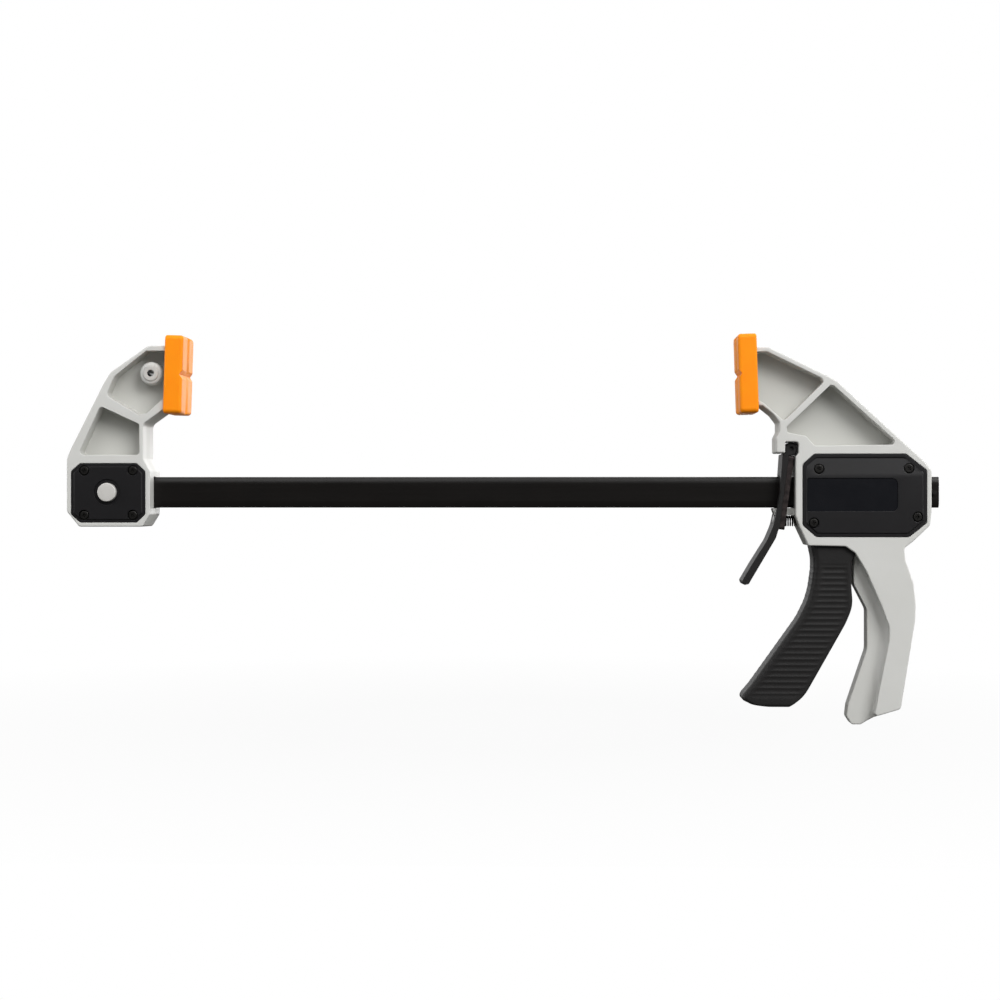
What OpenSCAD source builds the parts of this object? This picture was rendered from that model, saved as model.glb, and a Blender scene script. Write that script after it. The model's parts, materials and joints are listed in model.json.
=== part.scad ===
// One-handed bar clamp: a fixed jaw on the end of a steel bar, and a moving
// jaw that a squeeze of the trigger walks along the bar.
// X runs along the bar towards the handle, Z up towards the pads, and Y is
// across the clamp, away from the covers. The origin is on the bar's
// centreline, under the middle of the fixed pad's clamping face.
// The moving jaw's own shapes are drawn from its clamping face, so that they
// travel with the opening.

/* [Opening] */
// Clear distance between the two pads, measured at their middle
opening = 310; // [240:1:600]

/* [Bar] */
// Depth of the bar, upright
bar_h = 17.3; // [16:0.1:17.6]
// Thickness of the bar
bar_t = 6; // [5:0.1:6.2]
// Rounding along the bar's four edges
bar_edge_r = 0.8; // [0.3:0.1:1.5]
// Length of bar that stands out behind the housing
bar_stub = 6; // [5:0.5:12]
// Gap between the bar and the slots that slide on it
bar_gap = 0.3; // [0.2:0.05:0.4]
// Radius of the stop pin across the bar's end
stop_r = 1.25; // [1:0.05:1.6]
// Length of that stop pin
stop_len = 11; // [9:0.5:16]

/* [Bodies] */
// Thickness of the web in the middle of the open pockets
web_t = 4; // [3:0.5:6]
// Width of the handle's narrow front web
grip_web_w = 12; // [9:0.5:12.4]
// Thickness of the housing's back wall
back_wall = 2.5; // [2:0.1:2.8]

/* [Covers] */
// Thickness of the two black covers
cover_t = 2.5; // [2:0.1:2.8]
// Height that a cover stands above its body
cover_proud = 1; // [0.5:0.1:1.3]
// Width of the bevel round a cover
cover_bevel = 1.2; // [0.5:0.1:2]
// Gap between a cover and its seat
seat_gap = 0.15; // [0.1:0.05:0.3]
// Depth of the housing cover's bare label band
band_depth = 0.5; // [0.3:0.1:0.8]
// Radius of a cover screw's head
screw_head_r = 2.5; // [2.2:0.1:2.7]
// Height of a screw's head
screw_head_h = 1.2; // [1:0.1:1.4]
// Radius of a screw's shank
screw_r = 1.4; // [1.2:0.05:1.6]
// Length of a screw's shank
screw_len = 8; // [6:0.5:9]

/* [Pads] */
// Height of a pad
pad_h = 44; // [42:0.5:48]
// Width of a pad
pad_w = 33; // [32:0.5:38]
// Thickness of a pad
pad_t = 10.4; // [9:0.1:12]
// Height of the pads' middle above the bar's centreline
pad_z = 65.8; // [64:0.2:67]
// Lean of each pad's top towards the other pad
toe = 1.8; // [0.5:0.1:3]
// Width of the groove across the clamping face
groove_w = 2.6; // [1.5:0.1:4]
// Depth of that groove
groove_d = 1.2; // [0.6:0.1:2]
// Bevel round the clamping face
pad_bevel = 1.6; // [0.8:0.1:2.5]
// Thickness of the jaw's nose plate inside the pad
nose_t = 4; // [3:0.1:5]

/* [Hang hole] */
// Radius of the hole through the bush
hang_r = 1.8; // [1.4:0.1:2.5]
// Outer radius of the bush
bush_r = 4.5; // [3.8:0.1:4.8]
// Radius of the moulded boss round the bush
bush_boss_r = 7.2; // [6:0.1:7.5]
// Length of the bush
bush_len = 23; // [20:0.5:26]

/* [Lock button] */
// Radius of the button
button_r = 5.2; // [4.5:0.1:5.6]
// Height of the button above its cover
button_proud = 2; // [1.5:0.1:3]
// Travel of the button
button_travel = 3; // [2:0.1:3.4]
// Radius of the steel pin that locks the bar
lock_r = 3; // [2.4:0.1:3.2]
// Gap round a pin that slides or turns
pin_gap = 0.06; // [0.03:0.01:0.1]

/* [Trigger] */
// Gap between the trigger and the housing's inner walls
trigger_gap = 0.4; // [0.3:0.05:0.6]
// Thickness of the trigger's side walls
trigger_wall = 4; // [3:0.1:4.2]
// Radius of the trigger's pin
trigger_pin_r = 2.5; // [2:0.1:3]
// Thickness of one drive plate
plate_t = 2.4; // [1.8:0.1:2.6]
// Width of the drive plates
plate_w = 13; // [11:0.5:13.4]

/* [Release lever] */
// Width of the release lever
lever_w = 22; // [18:0.5:24]
// Thickness of its steel brake plate
brake_t = 2.8; // [2:0.1:3]
// Radius of the round bead that the lever hangs by
bead_r = 3.4; // [3:0.1:3.5]

/* [Springs] */
// Wire thickness of the drive spring
drive_wire = 1.4; // [1.1:0.1:1.6]
// Room between the bar and the drive spring round it
spring_gap = 0.25; // [0.2:0.05:0.6]
// Room between the drive spring and the housing's back wall
spring_room = 0.4; // [0.3:0.05:1]
// Curls of the drive spring
drive_curls = 5; // [3:0.5:6]
// Wire thickness of the release spring
release_wire = 0.7; // [0.5:0.05:0.8]
// Middle radius of the release spring
release_r = 2.75; // [2.4:0.05:2.9]
// Curls of the release spring
release_curls = 6; // [4:0.5:6]
// Wire thickness of the lock spring
lock_wire = 0.6; // [0.4:0.05:0.7]
// Curls of the lock spring
lock_curls = 4; // [3:0.5:5]

/* [Hidden] */

body_grey = [0.80, 0.80, 0.78];
cover_black = [0.13, 0.13, 0.14];
pad_orange = [1.0, 0.60, 0.02];
steel_black = [0.08, 0.08, 0.09];
bright_steel = [0.72, 0.72, 0.74];
spring_steel = [0.42, 0.40, 0.38];
button_grey = [0.82, 0.82, 0.79];

eps = 0.01;
// Most degrees that a rounded corner turns in one step
arc_step = 18;
round_fn = 48;

// The drive spring goes round the bar, and both bodies are as wide as it needs
drive_r = (bar_h / 2 + spring_gap + drive_wire / 2) / cos(22.5);
body_w = 2 * (drive_r + drive_wire / 2 + spring_room + back_wall);

front = -body_w / 2;
back = body_w / 2;
seat = front - cover_proud + cover_t;
cover_face = front - cover_proud;

// Nose plate of a jaw, which the pad is pushed over
nose_h = 30;
nose_w = body_w - 1;

// Places in the fixed jaw
lock_x = -42.5;
bar_start = -56;
bush_x = -18.8;
bush_z = 66.8;
lock_pin_end = bar_t / 2 + 1.5;
lock_seat = back - 1.5;
flange_t = 1.2;
flange_y = seat + 0.3;
fixed_nose_low = 46.4;
fixed_nose_top = 82.1;
fixed_screw_at = [[-55.6, 12.2], [-28.2, 12.2], [-28.2, -12.8], [-55.6, -12.8]];

// Places in the moving jaw, from its clamping face
housing_back_x = 106.3;
trigger_pin_x = 61;
trigger_pin_z = -13.3;
bead_x = 29.4;
bead_z = 24.2;
moving_nose_low = 48;
moving_nose_top = 80.3;
label_lo = [37.2, -10.6];
label_hi = [87.6, 7.7];
moving_screw_at = [[44.3, 12.9], [93.8, 13.2], [98.6, -13.7], [41.4, -17]];
bar_end = opening + housing_back_x + bar_stub;
stop_x = bar_end - bar_stub / 2;

// Walls that the pieces inside are set between
inner_back = back - back_wall;
trigger_w = 2 * (inner_back - trigger_gap);
slot_y = inner_back;
boss_r = screw_head_r + 0.7;
screw_seat = cover_face + screw_head_h + 0.5;

// The drive plates stand just right of the trigger's push bar
push_face = trigger_pin_x + 4.2;
plates_x = push_face + 0.3;
plate_step = plate_t + 0.1;
washer_x = plates_x + 2 * plate_step - 0.1;
washer_t = 1;
drive_seat_x = 90;

// The brake plate's right face is a straight line between these two points
brake_top = [31.0, 20];
brake_foot = [25.6, -21];
release_z = -16;
release_seat_x = 37;
prong_gap = 0.25;
prong_z = -bar_h / 2 - prong_gap;
prong_h = 3.9;
prong_y = 4.85;
prong_w = 2.5;
rivet_r = 1.5;
rivet_grip = 2.3;
rivet_head = 0.9;
rivet_stud = 1.6;

// Small helpers
function unit(v) = v / norm(v);

// Points of one rounded corner at b, between its neighbours a and c
function corner(a, b, c, r) =
    let (u = unit(a - b), v = unit(c - b), half = acos(u * v) / 2,
         m = b + unit(u + v) * r / sin(half),
         p = b + u * r / tan(half), q = b + v * r / tan(half),
         from = atan2(p[1] - m[1], p[0] - m[0]),
         to = atan2(q[1] - m[1], q[0] - m[0]),
         sweep = ((to - from + 540) % 360) - 180,
         steps = max(2, ceil(abs(sweep) / arc_step)))
    [for (i = [0:steps]) m + r * [cos(from + sweep * i / steps), sin(from + sweep * i / steps)]];

// Outline through points [x, z, corner radius]
function rounded(pts) =
    let (n = len(pts))
    [for (i = [0:n - 1])
        let (a = pts[(i + n - 1) % n], b = pts[i], c = pts[(i + 1) % n])
        each b[2] == 0 ? [[b[0], b[1]]]
            : corner([a[0], a[1]], [b[0], b[1]], [c[0], c[1]], b[2])];

// Moves every point of an eight-sided outline inwards by d, from its middle
function inset(pts, d) =
    let (lo_x = min([for (p = pts) p[0]]), hi_x = max([for (p = pts) p[0]]),
         lo_z = min([for (p = pts) p[1]]), hi_z = max([for (p = pts) p[1]]))
    [for (p = pts) [p[0] + (p[0] < (lo_x + hi_x) / 2 ? d : -d) * (p[0] == lo_x || p[0] == hi_x ? 1 : 0.45),
                    p[1] + (p[1] < (lo_z + hi_z) / 2 ? d : -d) * (p[1] == lo_z || p[1] == hi_z ? 1 : 0.45),
                    p[2]]];

// Extrudes an outline drawn in X and Z from y0 to y1
module slab(y0, y1) {
    translate([0, y1, 0]) rotate([90, 0, 0]) linear_extrude(y1 - y0) children();
}

module outline(pts) {
    polygon(rounded(pts));
}

// Cylinder across the clamp, from y0 to y1
module across(x, z, r, y0, y1) {
    translate([x, y1, z]) rotate([90, 0, 0]) cylinder(r = r, h = y1 - y0, $fn = round_fn);
}

// Box between two corners
module block(lo, hi) {
    translate(lo) cube(hi - lo);
}

module at_moving_jaw() {
    translate([opening, 0, 0]) children();
}

// Frame of a pad: x = 0 is its clamping face, z = 0 its middle
module toe_frame() {
    translate([0, 0, pad_z]) rotate([0, toe, 0]) children();
}

// X of the plane at depth d behind the fixed pad's face, at height z
function behind_pad(z, d) = (z - pad_z) * tan(toe) - d / cos(toe);

// Slot that the bar runs in
module bar_slot(x0, x1, gap) {
    block([x0, -bar_t / 2 - gap, -bar_h / 2 - gap], [x1, bar_t / 2 + gap, bar_h / 2 + gap]);
}

// Coil spring along +Z from 0 to length: one wire, straight at both ends
function spring_path(length, r, wire, curls) =
    let (bend = wire * 1.1, start = wire + bend, rise = length - 2 * start, n = 8 * curls)
    concat(
        [[r, -bend, 0], [r, -bend, wire]],
        [for (a = [30, 60]) [r, -bend * cos(a), wire + bend * sin(a)]],
        [for (i = [0:n]) [r * cos(45 * i), r * sin(45 * i), start + rise * i / n]],
        [for (a = [60, 30])
            let (p = [r, bend * cos(a), length - wire - bend * sin(a)], t = 45 * n)
            [p[0] * cos(t) - p[1] * sin(t), p[0] * sin(t) + p[1] * cos(t), p[2]]],
        [for (z = [length - wire, length])
            let (t = 45 * n)
            [r * cos(t) - bend * sin(t), r * sin(t) + bend * cos(t), z]]);

// Ring of six points round one path point, square to the path there
function ring(path, i, r) =
    let (n = len(path),
         d = i < 2 || i > n - 3 ? [0, 0, 1] : unit(path[i + 1] - path[i - 1]),
         out = unit([path[i][0], path[i][1], 0]),
         side = unit(cross(d, out)), up = cross(side, d))
    [for (k = [0:5]) path[i] + r * (cos(60 * k) * up + sin(60 * k) * side)];

module tube(path, r) {
    n = len(path);
    points = [for (i = [0:n - 1]) each ring(path, i, r)];
    walls = [for (i = [0:n - 2], k = [0:5])
        let (a = 6 * i + k, b = 6 * i + (k + 1) % 6)
        each [[a, a + 6, b + 6], [a, b + 6, b]]];
    lid = [for (k = [5:-1:0]) 6 * (n - 1) + k];
    base = [for (k = [0:5]) k];
    polyhedron(points = points, faces = concat([base], walls, [lid]));
}

// Least gap of a spring to its own next curl, measured on the path's points
function self_gap(path, wire, curls) =
    min([for (i = [4:len(path) - 13]) norm(path[i + 8] - path[i])]) - wire;

module spring(length, r, wire, curls) {
    path = spring_path(length, r, wire, curls);
    echo(str("least gap in spring, mm: ", self_gap(path, wire, curls)));
    tube(path, wire / 2);
}

// Bar and its stop pin
module bar() {
    color(steel_black) difference() {
        translate([bar_start, 0, 0]) rotate([90, 0, 90]) linear_extrude(bar_end - bar_start)
            outline([[-bar_t / 2, -bar_h / 2, bar_edge_r], [bar_t / 2, -bar_h / 2, bar_edge_r],
                     [bar_t / 2, bar_h / 2, bar_edge_r], [-bar_t / 2, bar_h / 2, bar_edge_r]]);
        across(lock_x, 0, lock_r + bar_gap, -bar_t, bar_t);
        across(stop_x, 0, stop_r, -bar_t, bar_t);
    }
}

module bar_stop_pin() {
    color(bright_steel) across(stop_x, 0, stop_r, -stop_len / 2, stop_len / 2);
}

// Octagons of the two covers, [x, z, corner radius]
fixed_octagon = [[-63.2, -12.5, 1.5], [-58.1, -17, 1.5], [-26, -17, 1.5], [-21.2, -12.5, 1.5],
                 [-21.2, 11.8, 1.5], [-26, 16.3, 1.5], [-58.1, 16.3, 1.5], [-63.2, 11.8, 1.5]];
moving_octagon = [[35.2, -18.4, 2], [42.8, -25, 2], [93.9, -25, 2], [103.8, -17, 2],
                  [103.8, 12.2, 2], [92.2, 21.3, 2], [41.7, 21.3, 2], [35.2, 15.6, 2]];

// One cover: a plate in its seat, bevelled on the outside
module cover_plate(octagon, screws) {
    edge = inset(octagon, seat_gap);
    difference() {
        hull() {
            slab(cover_face + cover_bevel * 0.6, seat) outline(edge);
            slab(cover_face, seat) outline(inset(edge, cover_bevel));
        }
        for (s = screws) {
            across(s[0], s[1], screw_head_r + 0.4, cover_face - 1, screw_seat);
            across(s[0], s[1], screw_r + 0.15, cover_face - 1, seat + 1);
        }
    }
}

// Cover screws, each a head with a cross recess and a shank
module screw_set(screws) {
    for (s = screws) difference() {
        union() {
            across(s[0], s[1], screw_head_r, screw_seat - screw_head_h, screw_seat);
            across(s[0], s[1], screw_r, screw_seat - eps, screw_seat + screw_len);
        }
        for (turn = [0, 90])
            translate([s[0], screw_seat - screw_head_h, s[1]]) rotate([0, turn, 0])
                cube([screw_head_r * 1.2, 1.4, 0.6], center = true);
    }
}

module screw_holes(screws) {
    for (s = screws) across(s[0], s[1], screw_r + 0.03, seat - 1, screw_seat + screw_len + 0.5);
}

// Nose plate that a pad is pushed over, of the fixed jaw's hand
module nose_plate() {
    toe_frame() block([-pad_t - eps, -nose_w / 2, -nose_h / 2], [-pad_t + nose_t, nose_w / 2, nose_h / 2]);
}

// Fixed jaw
module fixed_jaw() {
    color(body_grey) difference() {
        union() {
            difference() {
                slab(front, back) outline([
                    [-58.6, -19.3, 2], [-22.8, -19.3, 2], [-18.6, -12.4, 2], [-18.6, 11.8, 2],
                    [-22.4, 18.6, 3], [-22.4, 38.4, 4],
                    [behind_pad(fixed_nose_low, pad_t), fixed_nose_low, 0],
                    [behind_pad(fixed_nose_top, pad_t), fixed_nose_top, 0],
                    [-19.7, fixed_nose_top, 4], [-41.1, 67.1, 5], [-44.8, 61, 5], [-63.7, 23.7, 5],
                    [-65.6, 18.7, 4], [-65.6, -10.8, 3]]);
                for (side = [[front - 1, -web_t / 2], [web_t / 2, back + 1]]) {
                    slab(side[0], side[1]) outline([
                        [behind_pad(79.2, pad_t), 79.2, 0], [-20.8, 79.2, 2], [-38.8, 64.9, 3],
                        [-43.3, 54.2, 3], [-25, 43.4, 1], [-20.5, 44.2, 1.5],
                        [behind_pad(52.8, pad_t), 52.8, 0]]);
                    slab(side[0], side[1]) outline([
                        [-46.7, 48.3, 2], [-59.2, 20.9, 2], [-24.5, 20.9, 2], [-24.7, 38.2, 1]]);
                }
            }
            across(bush_x, bush_z, bush_boss_r, -bush_len / 2 + 0.8, bush_len / 2 - 0.8);
            nose_plate();
        }
        across(bush_x, bush_z, bush_r, front, back);
        bar_slot(bar_start - 1, 0, bar_gap);
        slab(front - 1, seat) outline(fixed_octagon);
        difference() {
            slab(seat - 1, -bar_t / 2 - 2.2) outline(inset(fixed_octagon, 2.4));
            across(lock_x, 0, lock_r + 2.5, -back, 0);
            for (s = fixed_screw_at) across(s[0], s[1], boss_r, -back, 0);
        }
        across(lock_x, 0, button_r + 2, front - 1, seat + 5);
        across(lock_x, 0, lock_r + pin_gap, front, lock_seat);
        screw_holes(fixed_screw_at);
    }
}

module fixed_jaw_cover() {
    color(cover_black) difference() {
        cover_plate(fixed_octagon, fixed_screw_at);
        across(lock_x, 0, button_r + 0.3, cover_face - 1, seat + 1);
        across(lock_x, 0, button_r + 2.2, cover_face - 1, cover_face + 0.9);
    }
}

module fixed_jaw_screws() {
    color(steel_black) screw_set(fixed_screw_at);
}

// Lock button with a flange that keeps it behind the cover
module lock_button() {
    color(button_grey) difference() {
        union() {
            across(lock_x, 0, button_r, cover_face - button_proud, flange_y + eps);
            across(lock_x, 0, button_r + 1.3, flange_y, flange_y + flange_t);
        }
        across(lock_x, 0, lock_r - 0.8, flange_y - 1.5, flange_y + flange_t + 1);
    }
}

module lock_pin() {
    color(bright_steel) {
        across(lock_x, 0, lock_r - 0.8, flange_y - 1.5, flange_y + flange_t + eps);
        across(lock_x, 0, lock_r, flange_y + flange_t, lock_pin_end);
    }
}

module lock_spring() {
    color(spring_steel) translate([lock_x, lock_pin_end, 0]) rotate([-90, 0, 0])
        spring(lock_seat - lock_pin_end, lock_r - 0.45 - lock_wire / 2, lock_wire, lock_curls);
}

module hang_hole_bush() {
    color(button_grey) difference() {
        across(bush_x, bush_z, bush_r, -bush_len / 2, bush_len / 2);
        across(bush_x, bush_z, hang_r, -bush_len, bush_len);
    }
}

// A pad, drawn with its clamping face at x = 0 and its back towards -X
module pad() {
    h = pad_h / 2;
    w = pad_w / 2;
    g = groove_w / 2;
    toe_frame() difference() {
        intersection() {
            slab(-w, w) outline([
                [-pad_t, -h, 1.5], [0, -h, pad_bevel], [0, -g, 0], [-groove_d, 0, 0], [0, g, 0],
                [0, h, pad_bevel], [-pad_t, h, 1.5]]);
            translate([0, 0, -h]) linear_extrude(pad_h) outline([
                [-pad_t, -w, 1], [-pad_bevel, -w, 0.5], [0, -w + pad_bevel, 0.5],
                [0, w - pad_bevel, 0.5], [-pad_bevel, w, 0.5], [-pad_t, w, 1]]);
            translate([-pad_t, 0, 0]) rotate([90, 0, 90]) linear_extrude(pad_t) outline([
                [-w, -h, 2.5], [w, -h, 2.5], [w, h, 2.5], [-w, h, 2.5]]);
        }
        block([-pad_t - 1, -nose_w / 2 - seat_gap, -nose_h / 2 - seat_gap],
              [-pad_t + nose_t, nose_w / 2 + seat_gap, nose_h / 2 + seat_gap]);
    }
}

module fixed_pad() {
    color(pad_orange) pad();
}

module moving_pad() {
    color(pad_orange) at_moving_jaw() mirror([1, 0, 0]) pad();
}

// Moving jaw, housing and handle in one moulding
module moving_jaw_outline() {
    outline([
        [-behind_pad(moving_nose_top, pad_t), moving_nose_top, 0],
        [-behind_pad(moving_nose_low, pad_t), moving_nose_low, 0],
        [13.1, moving_nose_low, 2], [19.2, 43.1, 3], [22.6, 38.6, 2], [22.6, 33.6, 2], [21, 30.5, 2],
        [21, 21.8, 1], [25.7, 21.8, 0.6], [25.7, 27.9, 0.8], [33.1, 27.9, 1.5], [33.1, 21.7, 0.8],
        [31.6, 19.8, 0.8], [31.6, -13.2, 2], [33.8, -19.3, 2], [38.6, -29.6, 1],
        [59.1, -30, 2], [64.4, -33.7, 3], [70.6, -44.1, 6], [79.1, -63.6, 6], [83.1, -74.6, 8],
        [82.9, -82.3, 8], [77.4, -110.1, 5], [74.9, -124.4, 1.5], [89.4, -120, 2.5],
        [97.3, -70.7, 20], [97.6, -61.3, 6], [96.3, -50.2, 5], [91.9, -37.5, 4],
        [91.3, -31, 2], [96, -27.4, 2], [105.4, -18.4, 3], [106.3, -11, 3],
        [106.3, 11.9, 3], [102.6, 16.7, 3], [54.7, 61, 5], [49.8, 64, 3],
        [16.7, moving_nose_top, 3]]);
}

module grip_web_outline() {
    outline([
        [85, -34, 0], [85, -118, 0], [77, -124.6, 1], [71.8, -127.3, 2], [68.4, -129.4, 2],
        [63.3, -129.4, 2], [60.5, -125, 3], [61.3, -118.4, 4], [71.7, -87.5, 8],
        [71.7, -65.2, 6], [64.4, -51.1, 3], [64.4, -34, 1]]);
}

module moving_jaw_pockets(y0, y1) {
    slab(y0, y1) outline([
        [-behind_pad(77.9, pad_t), 77.9, 0], [-behind_pad(50.8, pad_t), 50.8, 0], [13.6, 49.6, 1],
        [24.4, 40, 1.2], [26.6, 40.8, 1.2], [47, 61, 1.5], [45.9, 63.2, 2], [15.8, 77.9, 1.5]]);
    slab(y0, y1) outline([
        [50.6, 59.3, 1], [26.4, 36.1, 1.5], [26.9, 33, 1], [37.1, 31.1, 1.5], [42.1, 25.6, 1.5],
        [85.3, 26.3, 0.8], [86.1, 28.6, 1.2], [52.5, 59, 1.2]]);
}

// Hollow of the housing, with the wall that the drive spring pushes on
module housing_hollow() {
    difference() {
        slab(seat - 1, inner_back) outline(inset(moving_octagon, 3.2));
        block([drive_seat_x, -body_w, -12], [drive_seat_x + 2.5, body_w, 12]);
        for (s = moving_screw_at) across(s[0], s[1], boss_r, -back, back);
    }
}

// Room in which the trigger's top swings
module trigger_room() {
    slab(-slot_y, slot_y) outline([
        [40.5, -20, 0], [40.5, -46, 0], [72.5, -47, 1], [74, -40, 2], [74, -20, 0]]);
}

// Fork under the bar that reaches through the release lever
module prongs() {
    for (side = [-1, 1])
        slab(side * prong_y - prong_w / 2, side * prong_y + prong_w / 2) outline([
            [33, prong_z, 0], [19.5, prong_z, 0.5], [20.9, prong_z - prong_h, 0.8],
            [33, prong_z - prong_h, 0]]);
}

module moving_jaw() {
    color(body_grey) at_moving_jaw() difference() {
        union() {
            difference() {
                slab(front, back) moving_jaw_outline();
                moving_jaw_pockets(front - 1, -web_t / 2);
                moving_jaw_pockets(web_t / 2, back + 1);
                trigger_room();
            }
            slab(-grip_web_w / 2, grip_web_w / 2) grip_web_outline();
            prongs();
            mirror([1, 0, 0]) nose_plate();
        }
        bar_slot(20, housing_back_x + 1, bar_gap);
        slab(front - 1, seat) outline(moving_octagon);
        housing_hollow();
        across(trigger_pin_x, trigger_pin_z, trigger_pin_r + 0.03, 0, back - 1);
        translate([release_seat_x, 0, release_z]) rotate([0, -90, 0])
            cylinder(r = release_r + release_wire / 2 + 0.4, h = 12, $fn = round_fn);
        screw_holes(moving_screw_at);
    }
}

module housing_cover() {
    color(cover_black) at_moving_jaw() difference() {
        cover_plate(moving_octagon, moving_screw_at);
        slab(cover_face - 1, cover_face + band_depth) outline([
            [label_lo[0], label_lo[1], 0.5], [label_hi[0], label_lo[1], 3],
            [label_hi[0], label_hi[1], 3], [label_lo[0], label_hi[1], 0.5]]);
        across(trigger_pin_x, trigger_pin_z, trigger_pin_r + 0.03, seat - 1.1, seat + 1);
    }
}

module housing_screws() {
    color(steel_black) at_moving_jaw() screw_set(moving_screw_at);
}

// Trigger: a channel that straddles the handle's web and hangs on its pin
module trigger() {
    outer = trigger_w / 2;
    inner = outer - trigger_wall;
    color(cover_black) at_moving_jaw() difference() {
        union() {
            difference() {
                slab(-outer, outer) outline([
                    [38.5, -30.6, 1], [41.3, -36.5, 4], [41.7, -42.5, 6], [40.3, -53.4, 10],
                    [38.3, -60.8, 8], [33.4, -70.3, 12], [5.3, -109.9, 3], [1.1, -114.3, 2.4],
                    [3.8, -117.7, 3], [16.5, -119.5, 5], [29.4, -119.3, 4], [36.8, -113.4, 4],
                    [59.6, -73.1, 8], [62.7, -65.4, 5], [63.4, -60.9, 3], [62.5, -50.9, 4],
                    [62.5, -39.3, 3], [65.1, -34.8, 1.5], [66.5, -28, 2], [67.4, -12, 6],
                    [58, -5.8, 5.5], [46.5, -19.5, 2], [42.4, -26, 1.5], [41.8, -30.6, 0.4]]);
                slab(-inner, inner) outline([
                    [44.5, -30, 0], [45.2, -42.5, 8], [43.6, -54.5, 10], [41.6, -62, 8],
                    [36.6, -72.6, 12], [9.3, -111.3, 2], [11.3, -114.8, 2], [27, -114.8, 0],
                    [27, -125, 0], [80, -125, 0], [80, 0, 0], [40, 0, 0], [40, -30, 0]]);
            }
            block([push_face - 3.6, -inner - eps, -24.5], [push_face, inner + eps, -20.5]);
        }
        across(trigger_pin_x, trigger_pin_z, trigger_pin_r + pin_gap, -body_w, body_w);
    }
}

module trigger_pin() {
    color(bright_steel) at_moving_jaw()
        across(trigger_pin_x, trigger_pin_z, trigger_pin_r, seat - 1, back - 1.1);
}

module drive_plates() {
    color(bright_steel) at_moving_jaw() for (i = [0:1]) difference() {
        translate([plates_x + i * plate_step, 0, 0]) rotate([90, 0, 90]) linear_extrude(plate_t)
            outline([[-plate_w / 2, -24.6, 1.5], [plate_w / 2, -24.6, 1.5],
                     [plate_w / 2, 14.5, 2], [-plate_w / 2, 14.5, 2]]);
        bar_slot(plates_x - 1, washer_x + 1, bar_gap + 0.1);
    }
}

module spring_washer() {
    color(bright_steel) at_moving_jaw() difference() {
        translate([washer_x, 0, 0]) rotate([0, 90, 0])
            cylinder(r = drive_r + drive_wire / 2, h = washer_t, $fn = round_fn);
        bar_slot(washer_x - 1, washer_x + washer_t + 1, bar_gap);
    }
}

module drive_spring() {
    color(spring_steel) at_moving_jaw() translate([washer_x + washer_t, 0, 0])
        rotate([0, 90, 0]) rotate([0, 0, 22.5])
        spring(drive_seat_x - washer_x - washer_t, drive_r, drive_wire, drive_curls);
}

// Frame of the brake plate: x = 0 is its right face, z runs up the plate
brake_len = norm(brake_top - brake_foot);
brake_lean = atan2(brake_top[0] - brake_foot[0], brake_top[1] - brake_foot[1]);
module brake_frame() {
    translate([brake_foot[0], 0, brake_foot[1]]) rotate([0, brake_lean, 0]) children();
}

// X of the brake plate's right face at height z
function brake_x(z) =
    brake_foot[0] + (z - brake_foot[1]) * (brake_top[0] - brake_foot[0]) / (brake_top[1] - brake_foot[1]);

// Holes in the lever and its plate for the bar and the fork under it
module lever_holes() {
    block([10, -bar_t / 2 - 0.4, -bar_h / 2 - 0.8], [40, bar_t / 2 + 0.4, bar_h / 2 + 0.9]);
    for (side = [-1, 1])
        block([10, side * prong_y - prong_w / 2 - 0.45, prong_z - prong_h - 0.8],
              [40, side * prong_y + prong_w / 2 + 0.45, prong_z + 1]);
}

rivet_up = (release_z - brake_foot[1]) / cos(brake_lean);

// Cylinder along the rivet's axis, from x0 to x1 in the brake plate's frame
module rivet_hole(r, x0, x1) {
    brake_frame() translate([x0, 0, rivet_up]) rotate([0, 90, 0])
        cylinder(r = r, h = x1 - x0, $fn = round_fn);
}

module release_lever() {
    half = lever_w / 2;
    plate_left = brake_t / cos(brake_lean);
    color(cover_black) at_moving_jaw() difference() {
        union() {
            across(bead_x, bead_z, bead_r, -half, half);
            slab(-half, half) outline([
                [bead_x - bead_r + 0.1, bead_z, 0], [26, 21.3, 0.4], [24.5, 21.2, 0.6],
                [23.7, 9.6, 8], [23.2, -1, 10], [21.7, -8.8, 10], [19.5, -18.3, 10],
                [16.2, -26.3, 12], [7.6, -40, 15], [2.1, -49.4, 1.2], [3.1, -51.7, 1],
                [5.9, -51.1, 1], [7.4, -48.4, 4], [20.9, -25.5, 6],
                [brake_foot[0] - plate_left - 0.6, -21.2, 0.5],
                [brake_x(-20) - plate_left, -20, 0], [brake_x(20.2) - plate_left, 20.2, 0],
                [31.2, 20.5, 0.3], [bead_x + bead_r - 0.1, bead_z, 0]]);
        }
        lever_holes();
        brake_frame() block([-brake_t - 0.02, -lever_w, -0.5], [5, lever_w, brake_len + 0.05]);
        rivet_hole(rivet_r + 0.03, -12, 8);
        rivet_hole(rivet_r + 1.2, -12, -brake_t - rivet_grip);
    }
}

module brake_plate() {
    half = lever_w / 2 - 0.5;
    color(steel_black) at_moving_jaw() difference() {
        brake_frame() translate([-brake_t, 0, 0]) rotate([90, 0, 90]) linear_extrude(brake_t)
            outline([[-half, 0, 1.5], [half, 0, 1.5], [half, brake_len, 1], [-half, brake_len, 1]]);
        lever_holes();
        rivet_hole(rivet_r + 0.03, -12, 8);
    }
}

// Rivet that joins lever and brake plate; its far end centres the spring
module brake_rivet() {
    grip_end = -brake_t - rivet_grip;
    color(bright_steel) at_moving_jaw() {
        rivet_hole(rivet_r, grip_end - rivet_head, rivet_stud);
        rivet_hole(rivet_r + 1, grip_end - rivet_head, grip_end);
    }
}

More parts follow.
